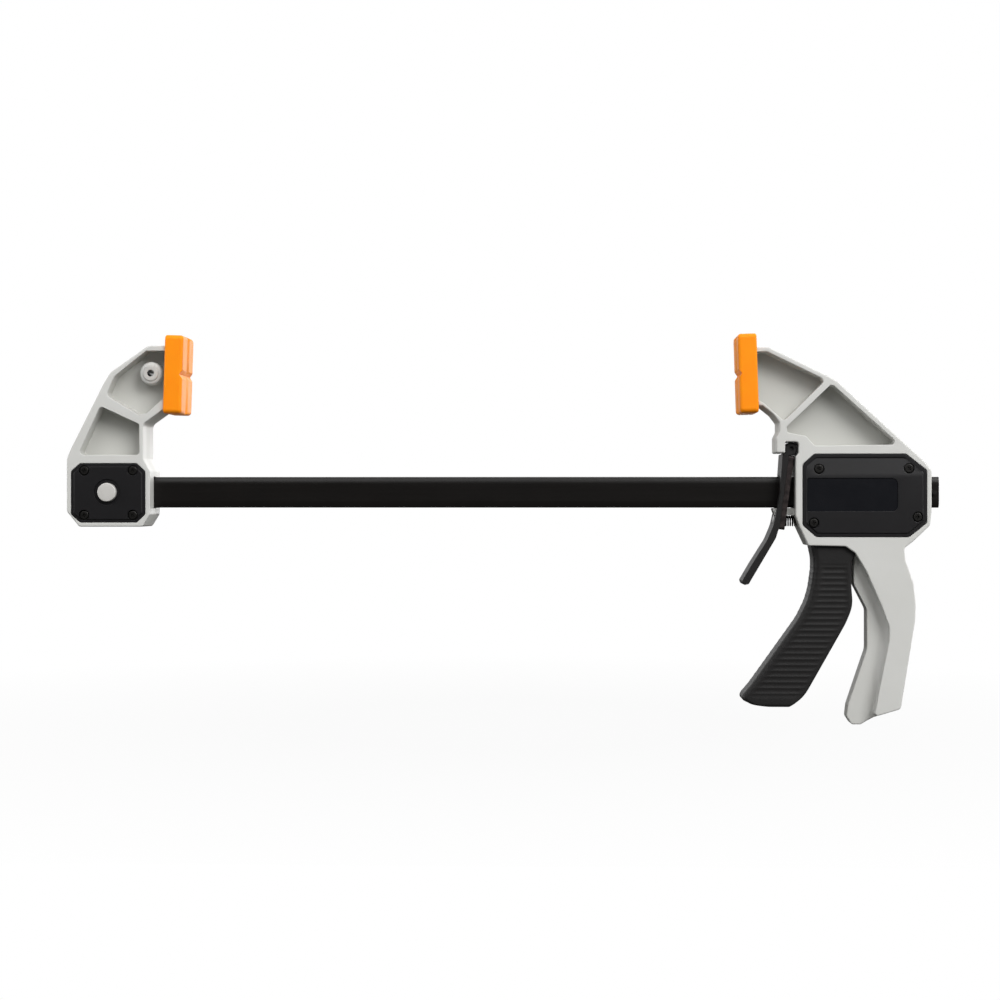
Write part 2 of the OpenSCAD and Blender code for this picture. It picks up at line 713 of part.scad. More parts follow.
module release_spring() {
    start = brake_x(release_z) + 0.35;
    color(spring_steel) at_moving_jaw() translate([start, 0, release_z]) rotate([0, 90, 0])
        spring(release_seat_x - start, release_r, release_wire, release_curls);
}

bar();
bar_stop_pin();
fixed_jaw();
fixed_jaw_cover();
fixed_jaw_screws();
lock_button();
lock_pin();
lock_spring();
hang_hole_bush();
fixed_pad();
moving_jaw();
housing_cover();
housing_screws();
trigger();
trigger_pin();
drive_plates();
spring_washer();
drive_spring();
release_lever();
brake_plate();
brake_rivet();
release_spring();
moving_pad();
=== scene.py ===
# %% [markdown]
# # A one-handed bar clamp
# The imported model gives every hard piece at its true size. This notebook lights it as a product photograph,
# gives each surface the finish of the real material, and remodels the pieces whose looks need rounder edges,
# ribs, crosses in the screws or a softer form than a construction model has.
# Lengths are in metres, as Blender counts them, and MM turns a millimetre into one.

# %% Load the frame
import json
import math

import bmesh
import bpy
from mathutils import Matrix, Vector


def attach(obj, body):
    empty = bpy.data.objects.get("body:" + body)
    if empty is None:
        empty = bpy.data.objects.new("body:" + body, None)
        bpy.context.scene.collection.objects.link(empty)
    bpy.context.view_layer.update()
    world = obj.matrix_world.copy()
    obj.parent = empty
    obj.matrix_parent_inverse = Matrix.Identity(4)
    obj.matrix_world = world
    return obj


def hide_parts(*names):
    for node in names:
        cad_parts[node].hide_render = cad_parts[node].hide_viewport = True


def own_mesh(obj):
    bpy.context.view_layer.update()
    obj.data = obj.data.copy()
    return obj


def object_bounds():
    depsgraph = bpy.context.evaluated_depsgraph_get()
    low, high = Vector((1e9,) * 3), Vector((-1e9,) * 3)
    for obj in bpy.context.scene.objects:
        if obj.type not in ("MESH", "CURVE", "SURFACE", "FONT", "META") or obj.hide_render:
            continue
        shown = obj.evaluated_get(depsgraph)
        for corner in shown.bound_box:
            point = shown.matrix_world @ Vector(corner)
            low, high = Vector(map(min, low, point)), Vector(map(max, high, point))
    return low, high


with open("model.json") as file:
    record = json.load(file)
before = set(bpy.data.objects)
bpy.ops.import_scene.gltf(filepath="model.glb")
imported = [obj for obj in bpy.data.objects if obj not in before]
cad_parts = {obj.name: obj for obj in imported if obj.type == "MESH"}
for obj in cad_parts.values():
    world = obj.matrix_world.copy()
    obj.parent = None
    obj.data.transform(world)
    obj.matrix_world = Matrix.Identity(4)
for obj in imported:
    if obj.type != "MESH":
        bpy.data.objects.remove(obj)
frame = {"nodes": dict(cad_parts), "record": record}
cad_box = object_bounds()
nodes = frame["nodes"]
MM = 0.001
print("frame:", len(nodes), "pieces,", [round((b - a) / MM, 1) for a, b in zip(*cad_box)], "mm")

# %% [markdown]
# ## Camera
# The clamp is photographed from a little over a metre, level with its bar, with a long lens that keeps the
# two jaws nearly free of perspective. The eye's place was fitted to the photograph, whose frame is square.

# %% Camera
def new_object(name, data):
    """An object made of some data, in the scene."""
    made = bpy.data.objects.new(name, data)
    bpy.context.scene.collection.objects.link(made)
    return made


EYE = Vector((217.06, -1144.3, -4.34)) * MM
AIM = Vector((177.1, 0, -4.34)) * MM
FOCAL_PX = 2032
PHOTO_PX = 1000
SENSOR = 36

camera_data = bpy.data.cameras.new("camera")
camera_data.sensor_width = SENSOR
camera_data.lens = FOCAL_PX / PHOTO_PX * SENSOR
camera = new_object("camera", camera_data)
camera.location = EYE
camera.rotation_euler = (AIM - EYE).to_track_quat("-Z", "Y").to_euler()
bpy.context.scene.camera = camera
print("lens:", round(camera_data.lens, 1), "mm")

# %% [markdown]
# ## Helpers for materials
# A colour is written as it would be picked from a screen, in sRGB, and Cycles wants it linear. One function
# adds any node: its dictionary names the inputs, and a value that is a node or a socket is linked.

# %% Colour and node helpers
def linear(hex_colour):
    """sRGB hex to the linear RGBA that shaders take."""
    channels = [int(hex_colour[i:i + 2], 16) / 255 for i in (1, 3, 5)]
    return [c / 12.92 if c <= 0.04045 else ((c + 0.055) / 1.055) ** 2.4 for c in channels] + [1]


def set_inputs(tree, node, inputs):
    """Sets a node's inputs. A socket is linked, and so is the first output in use of another node."""
    for key, value in inputs.items():
        if isinstance(value, bpy.types.Node):
            value = next(output for output in value.outputs if output.enabled)
        if isinstance(value, bpy.types.NodeSocket):
            tree.links.new(value, node.inputs[key])
        else:
            node.inputs[key].default_value = value


def add(tree, kind, inputs=None, **settings):
    """Adds one shader node with its settings, and sets or links its inputs."""
    node = tree.nodes.new("ShaderNode" + kind)
    for key, value in settings.items():
        setattr(node, key, value)
    set_inputs(tree, node, inputs or {})
    return node


def start_material(name):
    """An empty material's tree, with Object coordinates and the shader that the next cells fill in."""
    material = bpy.data.materials.new(name)
    material.use_nodes = True
    tree = material.node_tree
    tree.nodes.clear()
    place = add(tree, "TexCoord").outputs["Object"]
    shader = add(tree, "BsdfPrincipled")
    add(tree, "OutputMaterial", {"Surface": shader})
    return material, tree, place, shader


def per_mm(size):
    """Scale of a pattern whose features are size millimetres across."""
    return 1 / (size * MM)


def clouds(tree, place, size, detail, dark, light, rough=0.5):
    """Soft clouds some millimetres across, and the tint that they draw between two colours."""
    cloud = add(tree, "TexNoise", {"Vector": place, "Scale": per_mm(size), "Detail": detail,
                                   "Roughness": rough})
    tint = add(tree, "Mix", {"Factor": cloud, "A": linear(dark), "B": linear(light)}, data_type="RGBA")
    return cloud, tint


# %% [markdown]
# ## Studio
# Product light: a big soft box above the camera, weaker ones round the clamp, and a faint glow from the room.
# What the camera sees behind the clamp is plain white. Black plastic and a glossy bar show what they reflect,
# and a photographer keeps the side behind the camera dark, so reflections are dark there too.

# %% World
world = bpy.data.worlds.new("studio")
bpy.context.scene.world = world
world.use_nodes = True
tree = world.node_tree
tree.nodes.clear()
BEHIND_CAMERA = (0, -1, 0)
DARK_SIDE = 0.05
ROOM_GLOW = 0.22

path = add(tree, "LightPath").outputs
way = add(tree, "TexCoord").outputs["Generated"]
towards = add(tree, "VectorMath", {0: way, 1: BEHIND_CAMERA}, operation="DOT_PRODUCT")
dark = add(tree, "MapRange", {"Value": towards, "From Min": -0.5, "From Max": 0.1})
dark = add(tree, "Math", {0: dark, 1: path["Is Glossy Ray"]}, operation="MULTIPLY")
seen = add(tree, "Math", {0: path["Is Camera Ray"], 1: path["Is Glossy Ray"]}, operation="ADD")
seen = add(tree, "Math", {0: seen, 1: path["Is Transmission Ray"]}, operation="ADD", use_clamp=True)
backdrop = add(tree, "Mix", {"Factor": dark, "A": (1, 1, 1, 1), "B": (DARK_SIDE,) * 3 + (1,)},
               data_type="RGBA")
white = add(tree, "Background", {"Color": backdrop, "Strength": 1})
glow = add(tree, "Background", {"Color": (1, 1, 1, 1), "Strength": ROOM_GLOW})
mixed = add(tree, "MixShader", {0: seen, 1: glow, 2: white})
add(tree, "OutputWorld", {"Surface": mixed})
print("world: glow", ROOM_GLOW)

# %% [markdown]
# A lamp's level is the part of full light that it gives a surface facing it. With the room's glow the levels
# add up to about one on the side that the camera sees, so a colour renders there as it is written. The key
# lamp is high and to the right, far enough to light both jaws alike, and as wide as the photograph's shadows
# ask. A weak one high on the left fills them, the top one brightens upper faces and two side lamps the jaws'
# flanks. One from behind lights the plain back, which the camera never sees.

# %% Lamps
CENTRE = (Vector(cad_box[0]) + Vector(cad_box[1])) / 2


def soft_box(name, way, distance, size, level):
    """A square lamp in a direction from the clamp's middle, at a distance and size in metres."""
    lamp = bpy.data.lights.new(name, "AREA")
    lamp.shape = "SQUARE"
    lamp.size = size
    lamp.energy = level * (math.pi * distance) ** 2
    holder = new_object(name, lamp)
    holder.location = CENTRE + Vector(way).normalized() * distance
    holder.rotation_euler = (CENTRE - holder.location).to_track_quat("-Z", "Y").to_euler()


soft_box("key", (0.7, -1, 0.8), 4, 2.1, 0.85)
soft_box("fill", (-0.4, -1, 0.9), 2.4, 1.4, 0.3)
soft_box("top", (0.1, 0.25, 1), 1.8, 1.0, 0.3)
soft_box("right", (1, -0.1, 0.2), 1.8, 1.0, 0.3)
soft_box("left", (-1, -0.1, 0.2), 1.8, 1.0, 0.42)
soft_box("back", (0.4, 1, 0.25), 2.4, 1.4, 0.45)

# %% [markdown]
# The floor is a plain sheet just under the handle. The camera sees white paper, with some of its real, lit
# surface mixed in near the clamp, which keeps the soft shadow. That surface is a middle grey, so it throws
# little light up and the undersides stay dark. It ends a little in front of the clamp, so that the covers and
# the bar reflect the dark room.

# %% Floor
FLOOR_GAP = 0.2 * MM
FLOOR_SHOWS = 0.05
SHADOW_REACH = 0.5
FLOOR_WIDE, FLOOR_BACK, FLOOR_FRONT = 8, 4, -0.45
bpy.ops.mesh.primitive_plane_add(size=FLOOR_WIDE, location=(CENTRE.x, CENTRE.y, cad_box[0].z - FLOOR_GAP))
floor = bpy.context.object
for corner in floor.data.vertices:
    corner.co.y = FLOOR_BACK if corner.co.y > 0 else FLOOR_FRONT
floor.name = "floor"
paper, tree, place, shader = start_material("white_paper_sweep")
set_inputs(tree, shader, {"Base Color": linear("#5C5C5A"), "Roughness": 0.9, "Specular IOR Level": 0.1})
path = add(tree, "LightPath").outputs
glowing = add(tree, "Emission", {"Color": (1, 1, 1, 1), "Strength": 1})
seen = add(tree, "Math", {0: path["Is Camera Ray"], 1: path["Is Transmission Ray"]}, operation="ADD",
           use_clamp=True)
away = add(tree, "VectorMath", {0: place}, operation="LENGTH")
white_share = add(tree, "MapRange", {"Value": away, "From Min": 0.25 * SHADOW_REACH, "From Max": SHADOW_REACH,
                                     "To Min": 1 - FLOOR_SHOWS, "To Max": 1})
share = add(tree, "Math", {0: seen, 1: white_share}, operation="MULTIPLY")
mixed = add(tree, "MixShader", {0: share, 1: shader, 2: glowing})
set_inputs(tree, tree.nodes["Material Output"], {"Surface": mixed})
floor.data.materials.append(paper)
print("floor at", round(floor.location.z / MM, 1), "mm")

# %% [markdown]
# ## Materials
# Each is named for what the real piece is made of and how its surface was made. The patterns are measured in
# millimetres. A grain that is finer than a pixel here, about half a millimetre, is drawn a little coarser
# than it is, so that it shows at all.

# %% Glass-filled nylon, moulded: both bodies
# The pale warm grey plastic of tool housings. Its mould is spark-eroded, so it is matt, with a fine grain,
# and glass fibres near the surface leave faint cloudy streaks. Deep in the pockets the colour is painted
# darker: a painted shade for the light that the pockets' walls keep out, lightening towards the rims.
def glass_filled_nylon():
    material, tree, place, shader = start_material("glass_filled_nylon_moulded")
    cloud, tint = clouds(tree, place, 22, 3, "#C4C4C0", "#CDCDCA", 0.6)
    grain = add(tree, "TexNoise", {"Vector": place, "Scale": per_mm(0.7), "Detail": 2})
    # Painted shade: towards the middle plane, deep in the pockets and on the grip web, the colour darkens; it
    # lightens towards the rims.
    across_y = add(tree, "SeparateXYZ", {0: place}).outputs["Y"]
    off_middle = add(tree, "Math", {0: across_y}, operation="ABSOLUTE")
    rim = add(tree, "MapRange", {"Value": off_middle, "From Min": 3 * MM, "From Max": 8 * MM})
    tint = add(tree, "Mix", {"Factor": rim, "A": linear("#BFBFBA"), "B": tint}, data_type="RGBA")
    rough = add(tree, "MapRange", {"Value": cloud, "To Min": 0.46, "To Max": 0.56})
    bump = add(tree, "Bump", {"Height": grain, "Strength": 0.35, "Distance": 0.03 * MM})
    set_inputs(tree, shader, {"Base Color": tint, "Roughness": rough, "IOR": 1.53, "Normal": bump})
    return material


# %% Black ABS, moulded satin: both covers
# A fine leather-like etching makes the covers satin: they catch the upper soft box as a dull sheen.
def satin_black_abs():
    material, tree, place, shader = start_material("black_abs_moulded_satin")
    grain = add(tree, "TexNoise", {"Vector": place, "Scale": per_mm(0.8), "Detail": 3})
    _, tint = clouds(tree, place, 14, 2, "#111012", "#151416")
    rough = add(tree, "MapRange", {"Value": grain, "To Min": 0.34, "To Max": 0.5})
    bump = add(tree, "Bump", {"Height": grain, "Strength": 0.3, "Distance": 0.03 * MM})
    set_inputs(tree, shader, {"Base Color": tint, "Roughness": rough, "IOR": 1.5,
                              "Specular IOR Level": 0.35, "Normal": bump})
    return material


# %% Black ABS, polished: the sunk label band
# The band is moulded against polished steel, so it is smoother and a touch bluer than the rest of the cover.
def polished_black_abs():
    material, tree, place, shader = start_material("black_abs_moulded_polished")
    haze = add(tree, "TexNoise", {"Vector": place, "Scale": per_mm(6), "Detail": 4})
    rough = add(tree, "MapRange", {"Value": haze, "To Min": 0.2, "To Max": 0.3})
    set_inputs(tree, shader, {"Base Color": linear("#121317"), "Roughness": rough, "IOR": 1.5,
                              "Specular IOR Level": 0.35})
    return material


# %% Black nylon, coarse mould texture: trigger and release lever
# What fingers hold has a coarser, greyer grain than the covers.
def textured_black_nylon():
    material, tree, place, shader = start_material("black_nylon_moulded_textured")
    grain = add(tree, "TexVoronoi", {"Vector": place, "Scale": per_mm(0.75)})
    _, tint = clouds(tree, place, 9, 3, "#151414", "#1C1B1B")
    rough = add(tree, "MapRange", {"Value": grain, "To Min": 0.62, "To Max": 0.42})
    bump = add(tree, "Bump", {"Height": grain, "Strength": 0.5, "Distance": 0.04 * MM})
    set_inputs(tree, shader, {"Base Color": tint, "Roughness": rough, "IOR": 1.53,
                              "Specular IOR Level": 0.28, "Normal": bump})
    return material


# %% Thermoplastic rubber, moulded: both pads
# Soft orange rubber. Light goes a little way into it, so its edges glow, and it has a dry, dull skin.
def orange_rubber():
    material, tree, place, shader = start_material("orange_thermoplastic_rubber_moulded")
    cloud, tint = clouds(tree, place, 12, 3, "#FC8B00", "#FF9600")
    skin = add(tree, "TexNoise", {"Vector": place, "Scale": per_mm(0.9), "Detail": 3})
    rough = add(tree, "MapRange", {"Value": cloud, "To Min": 0.5, "To Max": 0.62})
    bump = add(tree, "Bump", {"Height": skin, "Strength": 0.3, "Distance": 0.04 * MM})
    set_inputs(tree, shader, {"Base Color": tint, "Roughness": rough, "IOR": 1.5,
                              "Specular IOR Level": 0.2, "Normal": bump, "Sheen Weight": 0.15,
                              "Sheen Roughness": 0.3, "Subsurface Weight": 0.15,
                              "Subsurface Radius": (1.0, 0.35, 0.05), "Subsurface Scale": 1.2 * MM})
    return material


# %% Black oxide on drawn steel: the bar
# A hot-rolled flat is drawn, blackened and oiled. It is glossy, with long faint draw lines along its length.
def black_oxide_steel():
    material, tree, place, shader = start_material("drawn_steel_black_oxide_oiled")
    along = add(tree, "Mapping", {"Vector": place, "Scale": (0.02, 1, 1)})
    lines = add(tree, "TexNoise", {"Vector": along, "Scale": per_mm(0.9), "Detail": 4})
    _, tint = clouds(tree, place, 18, 4, "#0A0807", "#110E0C")
    rough = add(tree, "MapRange", {"Value": lines, "To Min": 0.3, "To Max": 0.4})
    bump = add(tree, "Bump", {"Height": lines, "Strength": 0.25, "Distance": 0.02 * MM})
    set_inputs(tree, shader, {"Base Color": tint, "Roughness": rough, "IOR": 1.5,
                              "Specular IOR Level": 0.3, "Normal": bump})
    return material


# %% Steels: pins and plates, springs, screws
# Ground steel has fine cross lines and is bright. Spring wire is drawn and tempered, so it is darker and
# warmer. Screws are phosphated, a dull near-black skin of fine crystals.
def ground_steel():
    material, tree, place, shader = start_material("steel_ground")
    lines = add(tree, "TexNoise", {"Vector": place, "Scale": per_mm(0.5), "Detail": 2})
    rough = add(tree, "MapRange", {"Value": lines, "To Min": 0.25, "To Max": 0.42})
    set_inputs(tree, shader, {"Base Color": linear("#B9B8B5"), "Metallic": 1, "Roughness": rough})
    return material


def spring_steel():
    material, tree, place, shader = start_material("spring_steel_drawn_and_tempered")
    _, tint = clouds(tree, place, 2.5, 2, "#241F1C", "#3A332E")
    set_inputs(tree, shader, {"Base Color": tint, "Metallic": 1, "Roughness": 0.4})
    return material


def phosphated_steel():
    material, tree, place, shader = start_material("steel_phosphated")
    crystals = add(tree, "TexVoronoi", {"Vector": place, "Scale": per_mm(0.5)})
    rough = add(tree, "MapRange", {"Value": crystals, "To Min": 0.32, "To Max": 0.48})
    bump = add(tree, "Bump", {"Height": crystals, "Strength": 0.2, "Distance": 0.02 * MM})
    set_inputs(tree, shader, {"Base Color": linear("#323130"), "Metallic": 0.9, "Roughness": rough,
                              "Normal": bump})
    return material


# %% Brake plate: hardened steel with its heat tint
# The plate is hardened and left as it is, so brown and blue-grey clouds show on nearly black steel.
def heat_tinted_steel():
    material, tree, place, shader = start_material("steel_hardened_heat_tinted")
    cloud = add(tree, "TexNoise", {"Vector": place, "Scale": per_mm(3), "Detail": 5, "Roughness": 0.65})
    tint = add(tree, "ValToRGB", {"Fac": cloud})
    tint.color_ramp.elements[0].position = 0.35
    tint.color_ramp.elements[0].color = linear("#242020")
    tint.color_ramp.elements[1].position = 0.68
    tint.color_ramp.elements[1].color = linear("#494140")
    set_inputs(tree, shader, {"Base Color": tint, "Metallic": 0.7, "Roughness": 0.42})
    return material


# %% Acetal, moulded: button and bush
# A slippery pale plastic, a little yellower and glossier than the nylon round it.
def pale_acetal():
    material, tree, place, shader = start_material("acetal_moulded")
    _, tint = clouds(tree, place, 4, 2, "#BDBBB7", "#C6C4C0")
    set_inputs(tree, shader, {"Base Color": tint, "Roughness": 0.32, "IOR": 1.48})
    return material


# %% One material for each slot of the record
finish = {
    "grey_nylon": glass_filled_nylon(),
    "black_cover": satin_black_abs(),
    "black_trigger": textured_black_nylon(),
    "orange_pad": orange_rubber(),
    "bar_steel": black_oxide_steel(),
    "bright_steel": ground_steel(),
    "spring_steel": spring_steel(),
    "black_steel": phosphated_steel(),
    "button_plastic": pale_acetal(),
}
label_gloss = polished_black_abs()
heat_tint = heat_tinted_steel()
for part in frame["record"]["subparts"]:
    mesh = nodes[part["node"]].data
    mesh.materials.clear()
    mesh.materials.append(finish[part["material_slot"]])
nodes["brake_plate"].data.materials[0] = heat_tint
nodes["bar_stop_pin"].data.materials[0] = finish["black_steel"]
print("materials:", len(bpy.data.materials))

# %% [markdown]
# ## Helpers for shapes
# Each new piece is shaped as by hand: it's the only one selected, its faces and edges are picked in edit mode
# by their place or direction, and the same operators are used that the menus offer. A finished piece has its
# place in its mesh, keeps big faces flat and curves smooth, and rides on the body that carries it. Pieces of
# the moving jaw are placed from its clamping face, which lies MOVING millimetres along the bar.

# %% Selecting
MOVING = 310


def only(piece):
    """Selects one object alone and makes it active."""
    bpy.ops.object.select_all(action="DESELECT")
    piece.select_set(True)
    bpy.context.view_layer.objects.active = piece


def edit(piece):
    """Opens one object in edit mode, with nothing in it selected."""
    only(piece)
    bpy.ops.object.mode_set(mode="EDIT")
    bpy.ops.mesh.select_all(action="DESELECT")


def close():
    """Leaves edit mode."""
    bpy.ops.object.mode_set(mode="OBJECT")


def pick(piece, kind, test):
    """In edit mode, selects the verts, edges or faces that pass a test."""
    bpy.ops.mesh.select_mode(type=kind[:-1].upper())
    bpy.ops.mesh.select_all(action="DESELECT")
    mesh = bmesh.from_edit_mesh(piece.data)
    for item in [item for item in getattr(mesh, kind) if test(item)]:
        item.select_set(True)
    mesh.select_flush_mode()
    bmesh.update_edit_mesh(piece.data)


def near(value, target, room=0.02):
    """True where a length in metres is a given number of millimetres, within a little room."""
    return abs(value / MM - target) < room


def middle(edge):
    """The middle of an edge, in millimetres."""
    return (edge.verts[0].co + edge.verts[1].co) / 2 / MM


def lies_at(edge, axis, distance, room=0.02):
    """True where both ends of an edge lie so many millimetres along an axis, on either side of the origin."""
    return all(near(abs(v.co[axis]), abs(distance), room) for v in edge.verts)


def runs_along(edge, axis, least=1):
    """True where an edge reaches further than a least length, in millimetres, along an axis."""
    return abs(edge.verts[0].co[axis] - edge.verts[1].co[axis]) > least * MM


def off_centre(point, centre):
    """Distance in millimetres, seen from the side, between a point and a hole's centre (x, z)."""
    return math.hypot(point.x - centre[0], point.z - centre[1])


def bevel(piece, test, width, segments=2):
    """Rounds the edges that pass a test, by a width in millimetres."""
    edit(piece)
    pick(piece, "edges", test)
    bpy.ops.mesh.bevel(offset=width * MM, segments=segments, affect="EDGES")
    close()


def merge(distance):
    """In edit mode, makes one of points that lie closer than a distance in millimetres."""
    bpy.ops.mesh.select_all(action="SELECT")
    bpy.ops.mesh.remove_doubles(threshold=distance * MM)


# %% Starting and joining
def from_cad(node, name):
    """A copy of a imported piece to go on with: its loose triangles merged, its flat faces made whole."""
    piece = new_object(name, nodes[node].data.copy())
    edit(piece)
    merge(0.002)
    bpy.ops.mesh.customdata_custom_splitnormals_clear()
    bpy.ops.mesh.mark_sharp(clear=True)
    bpy.ops.mesh.dissolve_limited(angle_limit=math.radians(0.5))
    close()
    return piece


def turn_outwards():
    """In edit mode, turns all faces outwards."""
    bpy.ops.mesh.select_all(action="SELECT")
    bpy.ops.mesh.normals_make_consistent(inside=False)


def settle():
    """Puts a new primitive's place and turn into its mesh."""
    bpy.ops.object.transform_apply(location=True, rotation=True, scale=True)
    return bpy.context.object


def block(name, low, high):
    """A box between two corners, in millimetres."""
    low, high = Vector(low) * MM, Vector(high) * MM
    bpy.ops.mesh.primitive_cube_add(size=1, location=(low + high) / 2, scale=high - low)
    piece = settle()
    piece.name = name
    return piece


def across(name, x, z, radius, y0, y1, sides=48):
    """A cylinder across the clamp, in millimetres."""
    bpy.ops.mesh.primitive_cylinder_add(vertices=sides, radius=radius * MM, depth=(y1 - y0) * MM,
                                        location=Vector((x, (y0 + y1) / 2, z)) * MM,
                                        rotation=(math.pi / 2, 0, 0))
    piece = settle()
    piece.name = name
    return piece


def apply_all(piece):
    """Makes a piece's modifiers part of its mesh."""
    only(piece)
    for modifier in list(piece.modifiers):
        bpy.ops.object.modifier_apply(modifier=modifier.name)


def combine(piece, tool, operation="DIFFERENCE"):
    """Cuts another shape out of a piece, or joins it on, and removes that shape."""
    modifier = piece.modifiers.new("combine", "BOOLEAN")
    modifier.operation = operation
    modifier.solver = "EXACT"
    modifier.object = tool
    apply_all(piece)
    bpy.data.objects.remove(tool)


def join(pieces, name):
    """Makes one object of several."""
    bpy.ops.object.select_all(action="DESELECT")
    for piece in pieces:
        piece.select_set(True)
    bpy.context.view_layer.objects.active = pieces[0]
    if len(pieces) > 1:
        bpy.ops.object.join()
    pieces[0].name = name
    return pieces[0]


def copy_of(piece, name, change):
    """A copy with its own mesh, changed by a matrix, its faces turned outwards again if that mirrors it."""
    twin = new_object(name, piece.data.copy())
    twin.data.transform(change)
    if change.is_negative:
        edit(twin)
        turn_outwards()
        close()
    return twin


# %% Finishing
def two_finishes(piece, finishes, on_second):
    """Gives a piece two materials, the second one on the faces that pass a test."""
    piece.data.materials.clear()
    for material in finishes:
        piece.data.materials.append(material)
    for face in piece.data.polygons:
        if on_second(face):
            face.material_index = 1


def hand_over(piece, body, slot, replaces, smooth=35):
    """Shades a piece, gives it its finish and body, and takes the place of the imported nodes."""
    only(piece)
    bpy.ops.object.shade_smooth_by_angle(angle=math.radians(smooth))
    even = piece.modifiers.new("flat faces stay flat", "WEIGHTED_NORMAL")
    even.keep_sharp = True
    apply_all(piece)
    if not piece.data.materials:
        piece.data.materials.append(finish[slot])
    piece.data.materials[0] = finish[slot]
    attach(piece, body)
    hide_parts(*replaces)
    print(piece.name + ":", len(piece.data.vertices), "points,", len(piece.data.polygons), "faces")


# %% [markdown]
# ## The two bodies
# Each is one nylon moulding. A mould can't have knife edges: the outer rims are rounded by nearly a
# millimetre, the rims of the open pockets by half, and a pocket's floor runs into its walls in a small
# hollow. One bevel does all of this, with a weight on each edge that says how much of the full width it gets.
# A width only changes at a sharp corner, else the rounded edges would cross.

# %% Which edge is rounded by how much
BODY_SIDE = 13.991
SEAT = 12.491
WEB_SIDE = 2
GRIP_WEB_SIDE = 6
BUSH = (-18.8, 66.8)
PACKED_BOSS_R, BOSS_R, BOSS_END = 7.2, 6.4, 10.7
PAD_FOOT, PAD_BACK = 44, 11.3
SHARP = math.radians(25)
FULL_WIDTH = 5
OUTER, POCKET_RIM, SEAT_RIM, HOLLOW, GRIP_HOLLOW, BOSS_RIM = 0.7, 0.4, 0.25, 0.5, 1, 1.6


def rounding(edge):
    """Rounding of one edge of a body, in millimetres."""
    if len(edge.link_faces) != 2 or edge.calc_face_angle(0) < SHARP or runs_along(edge, 1, 0.1):
        return 0
    place = middle(edge)
    if abs(abs(place.y) - BOSS_END) < 0.02 and edge.is_convex:
        return BOSS_RIM if abs(off_centre(place, BUSH) - BOSS_R) < 0.1 else 0
    wall = max(edge.link_faces, key=lambda face: -abs(face.normal.y))
    if abs(wall.normal.y) > 0.1:
        return 0
    inner = min(abs(v.co.y) for v in wall.verts) / MM
    side = abs(place.y)
    if abs(side - BODY_SIDE) < 0.02:
        if abs(inner - WEB_SIDE) < 0.02:
            return POCKET_RIM
        if abs(inner - SEAT) < 0.02:
            return SEAT_RIM
        under_pad = place.z > PAD_FOOT and -PAD_BACK < place.x < MOVING + PAD_BACK
        return 0 if under_pad else OUTER
    if abs(side - WEB_SIDE) < 0.02 and not edge.is_convex:
        return HOLLOW
    if abs(side - GRIP_WEB_SIDE) < 0.02:
        return OUTER if edge.is_convex else GRIP_HOLLOW
    return 0


def round_edges(piece, rule):
    """Weights a piece's edges by a rule, bevels them all at once and leaves no many-sided face."""
    mesh = bmesh.new()
    mesh.from_mesh(piece.data)
    weight = mesh.edges.layers.float.new("bevel_weight_edge")
    for edge in mesh.edges:
        edge[weight] = rule(edge) / FULL_WIDTH
    count = sum(edge[weight] > 0 for edge in mesh.edges)
    mesh.to_mesh(piece.data)
    mesh.free()
    soft = piece.modifiers.new("moulded edges", "BEVEL")
    soft.limit_method = "WEIGHT"
    soft.width = FULL_WIDTH * MM
    soft.segments = 3
    soft.use_clamp_overlap = False
    apply_all(piece)
    edit(piece)
    merge(0.003)
    pick(piece, "faces", lambda face: len(face.verts) > 4)
    bpy.ops.mesh.quads_convert_to_tris(quad_method="BEAUTY", ngon_method="BEAUTY")
    close()
    print(piece.name + ":", count, "edges rounded")


# %% Fixed jaw
# The boss round the bush is slimmed a little towards its hole first.
fixed_body = from_cad("fixed_jaw", "fixed_jaw_moulded")
edit(fixed_body)
pick(fixed_body, "verts", lambda v: abs(off_centre(v.co / MM, BUSH) - PACKED_BOSS_R) < 0.05
     and (near(abs(v.co.y), BOSS_END) or near(abs(v.co.y), WEB_SIDE)))
slimmer = BOSS_R / PACKED_BOSS_R
bpy.ops.transform.resize(value=(slimmer, 1, slimmer), center_override=(BUSH[0] * MM, 0, BUSH[1] * MM))
close()
round_edges(fixed_body, rounding)
hand_over(fixed_body, "frame", "grey_nylon", ["fixed_jaw"])

# %% Moving jaw, housing and handle
moving_body = from_cad("moving_jaw", "moving_jaw_moulded")
round_edges(moving_body, rounding)

# %% [markdown]
# Behind the trigger the handle's thin web runs into the thick palm side in a wide hollow, so that the fingers
# find no corner. It fades out towards both ends. It is laid up as level rows along the foot of the wall, each
# a quarter round whose back lies inside the body, and the other side's is its mirror image.

# %% The wide hollow behind the trigger
# Points are height and X from the jaw's face.
FOOT_LINE = [(-46.9, 71.8), (-63.6, 79.1), (-73.2, 82.58), (-75.4, 83.05), (-81.6, 82.9), (-83, 82.77),
             (-110.1, 77.4), (-122, 75.3)]
HOLLOW_FROM, HOLLOW_TO, HOLLOW_FADE = -47.5, -121, 22
WIDEST, NARROWEST, SUNK = 5.2, 0.1, 0.02
LEVELS, ARC = 48, 10


def on_line(line, height):
    """X of a line at a height, both in millimetres."""
    for (z0, x0), (z1, x1) in zip(line, line[1:]):
        if z1 <= height:
            return x0 + (x1 - x0) * (z0 - height) / (z0 - z1)
    return line[-1][1]


